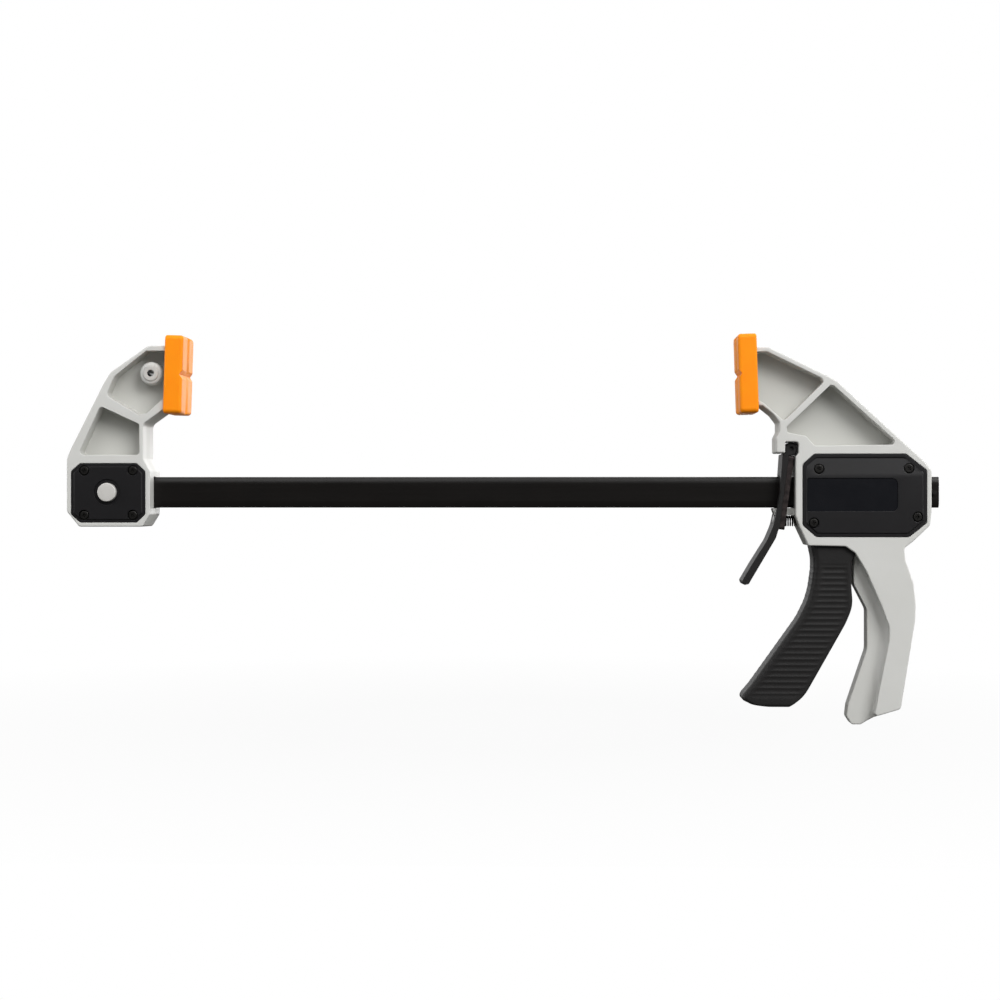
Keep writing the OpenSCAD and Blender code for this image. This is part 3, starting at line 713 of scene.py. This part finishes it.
def wrap_rows(name, heights, row):
    """A grid wrapped into a closed tube, level row by level row, with both ends shut."""
    columns = len(row(heights[0]))
    bpy.ops.mesh.primitive_grid_add(x_subdivisions=columns, y_subdivisions=len(heights) - 1, size=1)
    piece = bpy.context.object
    piece.name = name
    order = sorted(piece.data.vertices, key=lambda v: (round(v.co.y, 6), round(v.co.x, 6)))
    for level, height in enumerate(heights):
        points = row(height)
        for column in range(columns + 1):
            x, y = points[column % columns]
            order[level * (columns + 1) + column].co = Vector((x + MOVING, y, height)) * MM
    edit(piece)
    merge(0.001)
    bpy.ops.mesh.select_all(action="DESELECT")
    bpy.ops.mesh.select_mode(type="EDGE")
    bpy.ops.mesh.select_non_manifold()
    bpy.ops.mesh.edge_face_add()
    turn_outwards()
    close()
    print(name + ":", len(heights), "rows of", columns, "points")
    return piece


def hollow_row(height):
    """The hollow's section at a height: a quarter round from the web up the wall, and a point behind."""
    foot = on_line(FOOT_LINE, height)
    share = min(1, (HOLLOW_FROM - height) / HOLLOW_FADE, (height - HOLLOW_TO) / HOLLOW_FADE)
    wide = NARROWEST + (WIDEST - NARROWEST) * share * share * (3 - 2 * share)
    angles = [math.pi / 2 * k / ARC for k in range(ARC + 1)]
    arc = [(foot - wide + wide * math.sin(a), wide * math.cos(a) - wide - GRIP_WEB_SIDE) for a in angles]
    return [(x + SUNK, y + SUNK) for x, y in arc] + [(foot + 0.5, 0.5 - GRIP_WEB_SIDE)]


hollow_levels = [HOLLOW_FROM + (HOLLOW_TO - HOLLOW_FROM) * k / LEVELS for k in range(LEVELS + 1)]
near_side = wrap_rows("hollow", hollow_levels, hollow_row)
near_side.data.materials.append(finish["grey_nylon"])
far_side = copy_of(near_side, "hollow on the back", Matrix.Diagonal((1, -1, 1, 1)))
moving_body = join([moving_body, near_side, far_side], "moving_jaw_moulded")
hand_over(moving_body, "moving_jaw", "grey_nylon", ["moving_jaw"])

# %% [markdown]
# ## Bar
# A flat bar is rolled and then drawn, and its wide sides come out a little crowned towards the edges. It
# starts as a box that is cut along lines near its edges. Those lines move in by the depth of a shallow arc,
# and the last corners are rounded. The crown gives the long soft sheen below the bar's upper edge.

# %% Bar
BAR_HALF, BAR_SIDE = 8.65, 3
CROWN_FROM, CROWN_R, CROWN_CUTS = 4.6, 8, 6
bar_x = [v.co.x / MM for v in nodes["bar"].data.vertices]
bar = block("bar_drawn_flat", (min(bar_x), -BAR_SIDE, -BAR_HALF), (max(bar_x), BAR_SIDE, BAR_HALF))
levels = [CROWN_FROM + (BAR_HALF - CROWN_FROM) * k / CROWN_CUTS for k in range(CROWN_CUTS + 1)]
edit(bar)
for level in levels[:-1]:
    for height in (-level, level):
        bpy.ops.mesh.select_all(action="SELECT")
        bpy.ops.mesh.bisect(plane_co=(0, 0, height * MM), plane_no=(0, 0, 1))
for level in levels[1:]:
    sunk = CROWN_R - math.sqrt(CROWN_R ** 2 - (level - CROWN_FROM) ** 2)
    pick(bar, "verts", lambda v: near(abs(v.co.z), level))
    bpy.ops.transform.resize(value=(1, 1 - sunk / BAR_SIDE, 1), center_override=(0, 0, 0))
close()
bevel(bar, lambda e: runs_along(e, 0) and lies_at(e, 2, BAR_HALF), 0.7, 4)
bevel(bar, lambda e: e.calc_face_angle(0) > math.radians(60), 0.3)
BUTTON_X, LOCK_HOLE_R, STOP_R = -42.5, 3.3, 1.25
pin_x = [v.co.x / MM for v in nodes["bar_stop_pin"].data.vertices]
combine(bar, across("lock hole", BUTTON_X, 0, LOCK_HOLE_R, -BAR_SIDE - 1, BAR_SIDE + 1))
combine(bar, across("stop hole", sum(pin_x) / len(pin_x), 0, STOP_R, -BAR_SIDE - 1, BAR_SIDE + 1, 32))
hand_over(bar, "frame", "bar_steel", ["bar"], 40)

# %% [markdown]
# ## Covers
# Both covers are thin eight-sided plates pressed in a mould, with a lowered frame round a raised middle. Each
# starts as a box, its corners are cut off by four planes, and the frame is drawn with two insets whose outer
# edges move back. On the housing's cover the raised part slopes back above the label band, so it turns to the
# light and reads as a greyer strip.

# %% Measures that both covers share
COVER_FACE = -14.991
COVER_ROOM = 0.15
FRAME_STEP, FRAME_DROP = 0.5, 0.85
SCREW_SEAT = COVER_FACE + 1.7
SEAT_R, SCREW_HOLE_R = 2.9, 1.55


def eight_sided(name, low, high, cuts, corner):
    """A plate from low to high X and Z. Each corner, from low left round, loses its cut along X and Z."""
    low = [value + COVER_ROOM for value in low]
    high = [value - COVER_ROOM for value in high]
    plate = block(name, (low[0], COVER_FACE, low[1]), (high[0], -SEAT, high[1]))
    edit(plate)
    for (right, top), (along, up) in zip(((0, 0), (1, 0), (1, 1), (0, 1)), cuts):
        x = high[0] - along if right else low[0] + along
        z = high[1] if top else low[1]
        way = Vector((up if right else -up, 0, along if top else -along)).normalized()
        bpy.ops.mesh.select_all(action="SELECT")
        bpy.ops.mesh.bisect(plane_co=Vector((x, 0, z)) * MM, plane_no=way, use_fill=True, clear_outer=True)
    close()
    bevel(plate, lambda e: runs_along(e, 1, 2), corner, 4)
    return plate


def lower_frame(plate, width, slope_from=None, slope_drop=0):
    """Lowers a frame round a plate's face. Above a height, the raised part may slope away from the eye."""
    edit(plate)
    pick(plate, "faces", lambda f: f.normal.y < -0.99)
    bpy.ops.mesh.inset(thickness=(width - FRAME_STEP) * MM)
    bpy.ops.mesh.inset(thickness=FRAME_STEP * MM)
    inner = {v.index for v in bmesh.from_edit_mesh(plate.data).verts if v.select}
    if slope_from is not None:
        bpy.ops.mesh.bisect(plane_co=(0, 0, slope_from * MM), plane_no=(0, 0, 1))
    pick(plate, "verts", lambda v: near(v.co.y, COVER_FACE) and v.index not in inner
         and (slope_from is None or not near(v.co.z, slope_from)))
    bpy.ops.transform.translate(value=(0, FRAME_DROP * MM, 0))
    if slope_from is not None:
        top = max(v.co.z / MM for v in bmesh.from_edit_mesh(plate.data).verts if near(v.co.y, COVER_FACE))
        pick(plate, "verts", lambda v: near(v.co.y, COVER_FACE) and v.co.z > (slope_from + 0.1) * MM)
        bpy.ops.transform.rotate(value=math.atan(slope_drop / (top - slope_from)), orient_axis="X",
                                 center_override=(0, COVER_FACE * MM, slope_from * MM))
    close()
    bevel(plate, lambda e: len(e.link_faces) == 2 and e.is_convex and e.calc_face_angle(0) > math.radians(20)
          and any(f.normal.y < -0.98 for f in e.link_faces), 0.18)


def counterbore(plate, places):
    """Sinks a round seat and a screw's hole at each place, and breaks the seats' sharp rims."""
    for x, z in places:
        combine(plate, across("seat", x, z, SEAT_R, COVER_FACE - 1, SCREW_SEAT, 32))
        combine(plate, across("hole", x, z, SCREW_HOLE_R, COVER_FACE - 1, 1 - SEAT, 24))
    bevel(plate, lambda e: lies_at(e, 1, COVER_FACE, 0.9)
          and any(abs(off_centre(middle(e), place) - SEAT_R) < 0.06 for place in places), 0.25)


# %% Fixed jaw's cover
FIXED_SCREWS = [(-55.6, 12.2), (-28.2, 12.2), (-28.2, -12.8), (-55.6, -12.8)]
RING_R, OPENING_R = 7.4, 5.5
fixed_cover = eight_sided("fixed_jaw_cover_plate", (-63.2, -17), (-21.2, 16.3),
                          ((5.1, 4.5), (4.8, 4.5), (4.8, 4.5), (5.1, 4.5)), 1.2)
lower_frame(fixed_cover, 1.9)
combine(fixed_cover, across("ring", BUTTON_X, 0, RING_R, COVER_FACE - 1, COVER_FACE + 0.9, 64))
combine(fixed_cover, across("opening", BUTTON_X, 0, OPENING_R, COVER_FACE - 1, 1 - SEAT, 64))
bevel(fixed_cover, lambda e: abs(off_centre(middle(e), (BUTTON_X, 0)) - RING_R) < 0.05
      and lies_at(e, 1, COVER_FACE, 0.1), 0.15)
counterbore(fixed_cover, FIXED_SCREWS)
hand_over(fixed_cover, "frame", "black_cover", ["fixed_jaw_cover"])

# %% Housing cover with its sunk label band
MOVING_SCREWS = [(44.3 + MOVING, 12.9), (93.8 + MOVING, 13.2), (98.6 + MOVING, -13.7), (41.4 + MOVING, -17)]
BAND_LEFT, BAND_RIGHT = 37.6 + MOVING, 87.6 + MOVING
BAND_LOW, BAND_TOP, BAND_DEPTH = -10.6, 7.7, 0.5
housing_cover = eight_sided("housing_cover_plate", (35.2 + MOVING, -25), (103.8 + MOVING, 21.3),
                            ((7.6, 6.6), (9.9, 8), (11.6, 9.1), (6.5, 5.7)), 1.6)
lower_frame(housing_cover, 2.3, slope_from=8.3, slope_drop=1.4)
band = block("band", (BAND_LEFT, COVER_FACE - 1, BAND_LOW), (BAND_RIGHT, COVER_FACE + BAND_DEPTH, BAND_TOP))
bevel(band, lambda e: runs_along(e, 1) and near(middle(e).x * MM, BAND_RIGHT), 3, 6)
bevel(band, lambda e: runs_along(e, 1) and near(middle(e).x * MM, BAND_LEFT), 0.8, 3)
combine(housing_cover, band)
bevel(housing_cover, lambda e: lies_at(e, 1, COVER_FACE) and e.calc_face_angle(0) > math.radians(45)
      and BAND_LOW - 0.4 < middle(e).z < BAND_TOP + 0.3
      and any(near(v.co.z, BAND_LOW, 0.05) or near(v.co.z, BAND_TOP, 0.05)
              or v.co.x / MM > BAND_RIGHT - 3.6 for v in e.verts), 0.2)
counterbore(housing_cover, MOVING_SCREWS)
two_finishes(housing_cover, (finish["black_cover"], label_gloss),
             lambda f: near(f.center.y, COVER_FACE + BAND_DEPTH) and f.normal.y < -0.99)
hand_over(housing_cover, "moving_jaw", "black_cover", ["housing_cover"])

# %% [markdown]
# ## Screws
# Small pan-head screws with a cross recess sit deep in the covers. One is turned from a cylinder: its rim is
# rounded, its shank pulled out of the back, and the cross cut by two tapered blades. The eight in the covers
# are copies, each turned as far as it went when it was driven home.

# %% One screw, then eight
HEAD_R, HEAD_H, SHANK_R, SHANK = 2.5, 1.2, 1.4, 8
BLADE_HALF, BLADE_THICK, CROSS_DEEP = 1.45, 0.72, 0.75


def one_screw():
    """A screw whose head sits on the plane y = 0, with its axis through the origin."""
    screw = across("screw", 0, 0, HEAD_R, -HEAD_H, 0, 32)
    bevel(screw, lambda e: lies_at(e, 1, HEAD_H), 0.55, 4)
    edit(screw)
    pick(screw, "faces", lambda f: f.normal.y > 0.99)
    bpy.ops.mesh.inset(thickness=(HEAD_R - SHANK_R) * MM)
    bpy.ops.mesh.extrude_region_move(TRANSFORM_OT_translate={"value": (0, SHANK * MM, 0)})
    close()
    for turn in (0, 90):
        blade = block("blade", (-BLADE_HALF, -HEAD_H - 0.5, -BLADE_THICK / 2),
                      (BLADE_HALF, CROSS_DEEP - HEAD_H, BLADE_THICK / 2))
        edit(blade)
        pick(blade, "verts", lambda v: v.co.y > -HEAD_H * MM)
        bpy.ops.transform.resize(value=(0.55, 1, 0.6), center_override=(0, 0, 0))
        close()
        blade.rotation_euler.y = math.radians(turn)
        only(blade)
        settle()
        combine(screw, blade)
    return screw


def screw_set(name, places, turns, body, node):
    """Copies of the screw in their seats, each turned by its own angle, as one piece."""
    copies = [copy_of(master_screw, "screw", Matrix.Translation(Vector((x, SCREW_SEAT, z)) * MM)
                      @ Matrix.Rotation(math.radians(turn), 4, "Y")) for (x, z), turn in zip(places, turns)]
    hand_over(join(copies, name), body, "black_steel", [node], 30)


master_screw = one_screw()
screw_set("fixed_cover_screws", FIXED_SCREWS, (12, 67, 38, 80), "frame", "fixed_jaw_screws")
screw_set("housing_cover_screws", MOVING_SCREWS, (25, 50, 5, 71), "moving_jaw", "housing_screws")
bpy.data.objects.remove(master_screw)

# %% [markdown]
# ## Lock button and hang-hole bush
# Both are turned shapes in pale acetal. The button's face is a little domed for the thumb, and a flange keeps
# it behind the cover. The bush has a rounded rim, and the wall of its hole is coloured black steel, so the
# hole reads dark.

# %% Lock button
BUTTON_R, FLANGE_R, BUTTON_FACE = 5.2, 6.5, COVER_FACE - 2
button = across("lock_button_cap", BUTTON_X, 0, BUTTON_R, BUTTON_FACE, 0.3 - SEAT, 64)
bevel(button, lambda e: lies_at(e, 1, BUTTON_FACE), 0.6, 4)
edit(button)
pick(button, "faces", lambda f: f.normal.y < -0.99)
bpy.ops.mesh.inset(thickness=1.2 * MM, depth=0.12 * MM)
bpy.ops.mesh.inset(thickness=1.4 * MM, depth=0.06 * MM)
pick(button, "faces", lambda f: f.normal.y > 0.99)
bpy.ops.mesh.inset(thickness=0.01 * MM)
bpy.ops.transform.resize(value=(FLANGE_R / BUTTON_R, 1, FLANGE_R / BUTTON_R),
                         center_override=(BUTTON_X * MM, 0, 0))
bpy.ops.mesh.extrude_region_move(TRANSFORM_OT_translate={"value": (0, 1.2 * MM, 0)})
close()
hand_over(button, "lock_button", "button_plastic", ["lock_button"], 40)

# %% Hang-hole bush
BUSH_R, BUSH_HOLE_R, BUSH_END = 4.5, 1.8, 11.5


def in_bush_hole(corners):
    """True where all of some points in metres lie on the wall of the bush's hole."""
    return all(off_centre(point / MM, BUSH) < BUSH_HOLE_R + 0.1 for point in corners)


bush = across("hang_hole_bush_ring", *BUSH, BUSH_R, -BUSH_END, BUSH_END, 64)
combine(bush, across("hole", *BUSH, BUSH_HOLE_R, -BUSH_END - 1.5, BUSH_END + 1.5))
bevel(bush, lambda e: lies_at(e, 1, BUSH_END) and off_centre(middle(e), BUSH) > BUSH_R - 0.5, 0.9, 4)
bevel(bush, lambda e: lies_at(e, 1, BUSH_END) and in_bush_hole([v.co for v in e.verts]), 0.5, 3)
# The wall of the hole gets the black steel colour, which makes the hole dark.
two_finishes(bush, (finish["button_plastic"], finish["black_steel"]),
             lambda f: in_bush_hole([bush.data.vertices[index].co for index in f.vertices]))
hand_over(bush, "frame", "button_plastic", ["hang_hole_bush"], 40)

# %% [markdown]
# ## Pads
# Each pad is a soft rubber shoe pushed over the jaw's nose. It starts as a block, its corners and rims are
# rounded, and two V grooves that hold round bars and pipes cross its clamping face. The second pad is the
# first one mirrored.

# %% The fixed jaw's pad, lying on its frame
PAD_T, PAD_W, PAD_H, PAD_Z, TOE = 10.4, 33, 44, 65.8, 1.8
NOSE_W, NOSE_H, NOSE_T, NOSE_ROOM = 26.982, 30, 4, 0.3


def moulded_pad():
    """A pad whose clamping face lies on the plane x = 0, with its middle at the origin."""
    pad = block("fixed_pad_rubber", (-PAD_T, -PAD_W / 2, -PAD_H / 2), (0, PAD_W / 2, PAD_H / 2))
    bevel(pad, lambda e: runs_along(e, 0), 2.6, 5)
    bevel(pad, lambda e: lies_at(e, 0, 0), 1.9, 5)
    bevel(pad, lambda e: lies_at(e, 0, PAD_T), 1.2, 3)
    for name, half, deep, turn in (("groove", 2.5, 1.7, 0), ("groove for pipes", 3.3, 1.3, 90)):
        groove = across(name, 0, 0, half, -PAD_W, PAD_W, 4)
        groove.scale.x = deep / half
        groove.rotation_euler.x = math.radians(turn)
        only(groove)
        settle()
        combine(pad, groove)
    bevel(pad, lambda e: e.is_convex and 15 < math.degrees(e.calc_face_angle(0)) < 70
          and all(v.co.x > -0.05 * MM for v in e.verts), 0.35)
    wide, high = (NOSE_W + NOSE_ROOM) / 2, (NOSE_H + NOSE_ROOM) / 2
    combine(pad, block("socket", (-PAD_T - 1, -wide, -high), (NOSE_T - PAD_T, wide, high)))
    return pad


fixed_pad = moulded_pad()
fixed_pad.data.transform(Matrix.Translation((0, 0, PAD_Z * MM)) @ Matrix.Rotation(math.radians(TOE), 4, "Y"))
moving_pad = copy_of(fixed_pad, "moving_pad_rubber",
                     Matrix.Translation((MOVING * MM, 0, 0)) @ Matrix.Diagonal((-1, 1, 1, 1)))
hand_over(fixed_pad, "frame", "orange_pad", ["fixed_pad"], 40)
hand_over(moving_pad, "moving_jaw", "orange_pad", ["moving_pad"], 40)

# %% [markdown]
# ## Release lever
# A curved blade with a round bead at its top, by which it hangs in the housing's hook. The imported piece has
# the right form, so it is taken over. Its two long rims are rounded as a mould leaves them, and the bead gets
# the blind hole that cores it out at each end.

# %% Release lever
LEVER_SIDE, LEVER_RIM = 11, 0.4
BEAD, RECESS_R = (29.4 + MOVING, 24.2), 1.3
lever = from_cad("release_lever", "release_lever_blade")
round_edges(lever, lambda edge: LEVER_RIM if lies_at(edge, 1, LEVER_SIDE) and edge.is_convex
            and edge.calc_face_angle(0) > SHARP else 0)
for low, high in ((-LEVER_SIDE - 1, -9.6), (9.6, LEVER_SIDE + 1)):
    combine(lever, across("bead recess", *BEAD, RECESS_R, low, high, 24))
hand_over(lever, "release_lever", "black_trigger", ["release_lever"])

# %% [markdown]
# ## Trigger
# The part that the fingers pull is a deep channel, open towards the handle. Its front is round, and fine ribs
# run level round it, 3.2 mm apart. A level rib is a matter of height alone, so the trigger is laid up in
# level rows: a grid is wrapped into a closed channel section, row by row, and at each row's height the ribs
# sink the surface by a part of a millimetre, fading out towards the smooth margin at the back.

# %% Outlines of the trigger, seen from the side
# Points are height and X from the jaw's face. The lip under the housing makes a step in the front line.
FRONT_LINE = [(-5.8, 56), (-9, 53), (-19.5, 46.5), (-26, 42.4), (-29.94, 41.8), (-29.96, 40.2), (-33, 41),
              (-36.5, 41.8), (-42.5, 41.7), (-53.4, 40.2), (-60.8, 38.1), (-70.3, 33.4), (-106, 8),
              (-109.9, 5), (-112.2, 2.5), (-114.3, 1.5), (-116, 2), (-117.7, 4.5), (-118.7, 9), (-119.4, 15)]
BACK_LINE = [(-5.8, 59), (-7, 62), (-9, 65), (-12, 66.8), (-28, 66.5), (-34.8, 65.1), (-37, 63.5),
             (-39.3, 62.6), (-50.9, 62.5), (-60.9, 63.3), (-65.4, 62.6), (-73.1, 59.4), (-110.5, 38.3),
             (-113.4, 36.3), (-116.5, 33), (-119.4, 28.5)]
CHANNEL_LINE = [(-5.8, 50), (-30, 44.5), (-42.5, 45.2), (-54.5, 43.6), (-62, 41.6), (-72.6, 36.6),
                (-109, 10.9), (-111.3, 9.6), (-114.7, 11.3), (-114.9, 27), (-119.4, 27)]
TRIGGER_TOP, LIP, TRIGGER_FOOT = -5.8, -29.95, -119.4
TRIGGER_SIDE, CHANNEL_SIDE = 11.09, 7.09
RIB_PITCH, RIB_DEPTH, RIBS_FROM, RIBS_TO, RIB_FADE = 3.2, 0.26, -39.5, -115, 3
FRONT_ROUND, FOOT_FROM, FOOT_ROUND = 3.4, -117.6, 1.9
SIDE_STEPS, FRONT_STEPS = 20, 8


def smooth_line(line, height, reach):
    """X of a line at a height, with its corners rounded over a reach, but not across the lip."""
    room = min(reach, abs(height - LIP), TRIGGER_TOP - height, height - TRIGGER_FOOT)
    steps = [height + room * k / 4 for k in range(-4, 5)]
    return sum(on_line(line, z) for z in steps) / len(steps)


# %% One level row of the trigger
def row_points(height):
    """The channel's section at a height, as points in millimetres, all the way round."""
    front = smooth_line(FRONT_LINE, height, 2.4)
    back = smooth_line(BACK_LINE, height, 2.4)
    inner = max(smooth_line(CHANNEL_LINE, height, 0.1), front + 0.8)
    inner = min(inner, back - 0.6)
    low = max(0, FOOT_FROM - height) / FOOT_ROUND
    side = TRIGGER_SIDE - 1.6 * (1 - math.sqrt(max(0, 1 - low * low)))
    fade = min(1, max(0, (RIBS_FROM - height) / RIB_FADE), max(0, (height - RIBS_TO) / RIB_FADE))
    wave = 0.5 - 0.5 * math.cos(2 * math.pi * height / RIB_PITCH)
    sunk = RIB_DEPTH * fade * wave ** 0.4
    radius = min(FRONT_ROUND, (back - front) / 3)
    half = [(back, -CHANNEL_SIDE), (back, -side + 0.9), (back - 0.25, -side + 0.3), (back - 0.9, -side)]
    for k in range(1, SIDE_STEPS + 1):
        x = back - 0.9 + (front + radius - back + 0.9) * k / SIDE_STEPS
        ribbed = min(1, max(0, (back - 2.2 - x) / 1.5))
        smooth_strip = min(1, max(0.2, x - front - 4.8))
        half.append((x, -side + sunk * ribbed * smooth_strip))
    for k in range(1, FRONT_STEPS + 1):
        angle = math.pi / 2 * k / FRONT_STEPS
        reach = radius - sunk * (0.2 + 0.5 * k / FRONT_STEPS)
        half.append((front + radius - reach * math.sin(angle), -side + radius - reach * math.cos(angle)))
    half.append((front + sunk * 0.7, -(side - radius) / 2))
    other = [(x, -y) for x, y in reversed(half)]
    return half + other + [(inner, CHANNEL_SIDE), (inner, -CHANNEL_SIDE)]


# %% Wrap the grid into the trigger
# Rows lie close together where there are ribs, and closest at the lip and at the round foot.
heights = [TRIGGER_TOP - 0.9 * k for k in range(27)] + [LIP + 0.01, LIP - 0.01]
heights += [-30.2 - 0.8 * k for k in range(11)] + [-38.9 - 0.4 * k for k in range(197)]
heights += [FOOT_FROM - 0.3 * k for k in range(1, 6)] + [-119.25, TRIGGER_FOOT]
trigger = wrap_rows("trigger_channel", heights, row_points)

# %% The trigger's top: two cheeks, their pin hole and the bar that pushes the plates
TRIGGER_PIN, PIN_HOLE_R = (61 + MOVING, -13.3), 2.56
combine(trigger, block("between cheeks", (30 + MOVING, -CHANNEL_SIDE, -30), (80 + MOVING, CHANNEL_SIDE, 0)))
combine(trigger, across("pin hole", *TRIGGER_PIN, PIN_HOLE_R, -15, 15, 32))
combine(trigger, block("push bar", (61.6 + MOVING, -CHANNEL_SIDE - 0.5, -24.5),
                       (65.2 + MOVING, CHANNEL_SIDE + 0.5, -20.5)), "UNION")
hand_over(trigger, "trigger", "black_trigger", ["trigger"], 32)

# %% [markdown]
# ## Springs
# A coil spring is one round wire. Its last turn at each end lies flat against its neighbour, so that it
# stands square, and the turns between are open. The wire is a curve with a round section, made a mesh.

# %% Coil springs
TURN_STEPS = 28


def coil(name, length, radius, wire, turns, place, turn_to):
    """A spring from 0 to length along its own Z, turned and put in its place."""
    shares = [0.25 if k < 0.8 * TURN_STEPS or k > (turns - 0.8) * TURN_STEPS else 1
              for k in range(int(turns * TURN_STEPS))]
    rise = (length - wire) / sum(shares)
    curve = bpy.data.curves.new(name, "CURVE")
    curve.dimensions = "3D"
    curve.bevel_depth = wire / 2 * MM
    curve.bevel_resolution = 3
    curve.use_fill_caps = True
    line = curve.splines.new("POLY")
    line.points.add(len(shares))
    height = wire / 2
    for k, point in enumerate(line.points):
        angle = 2 * math.pi * k / TURN_STEPS
        point.co = (radius * MM * math.cos(angle), radius * MM * math.sin(angle), height * MM, 1)
        height += rise * shares[k] if k < len(shares) else 0
    only(new_object(name, curve))
    bpy.ops.object.convert(target="MESH")
    piece = bpy.context.object
    piece.data.transform(Matrix.Translation(Vector(place) * MM) @ turn_to)
    return piece


along_x = Matrix.Rotation(math.radians(90), 4, "Y")
along_y = Matrix.Rotation(math.radians(-90), 4, "X")
drive = coil("drive_spring_coil", 18.6, 10.39, 1.4, 5, (71.4 + MOVING, 0, 0), along_x)
hand_over(drive, "moving_jaw", "spring_steel", ["drive_spring"], 60)
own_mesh(drive)

release = coil("release_spring_coil", 10.39, 2.7, 0.82, 9, (26.61 + MOVING, 0, -16), along_x)
hand_over(release, "moving_jaw", "spring_steel", ["release_spring"], 60)
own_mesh(release)

lock = coil("lock_spring_coil", 7.99, 2.25, 0.6, 4, (BUTTON_X, 4.5, 0), along_y)
hand_over(lock, "frame", "spring_steel", ["lock_spring"], 60)
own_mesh(lock)

# %% View transform
bpy.context.scene.view_settings.view_transform = "Standard"
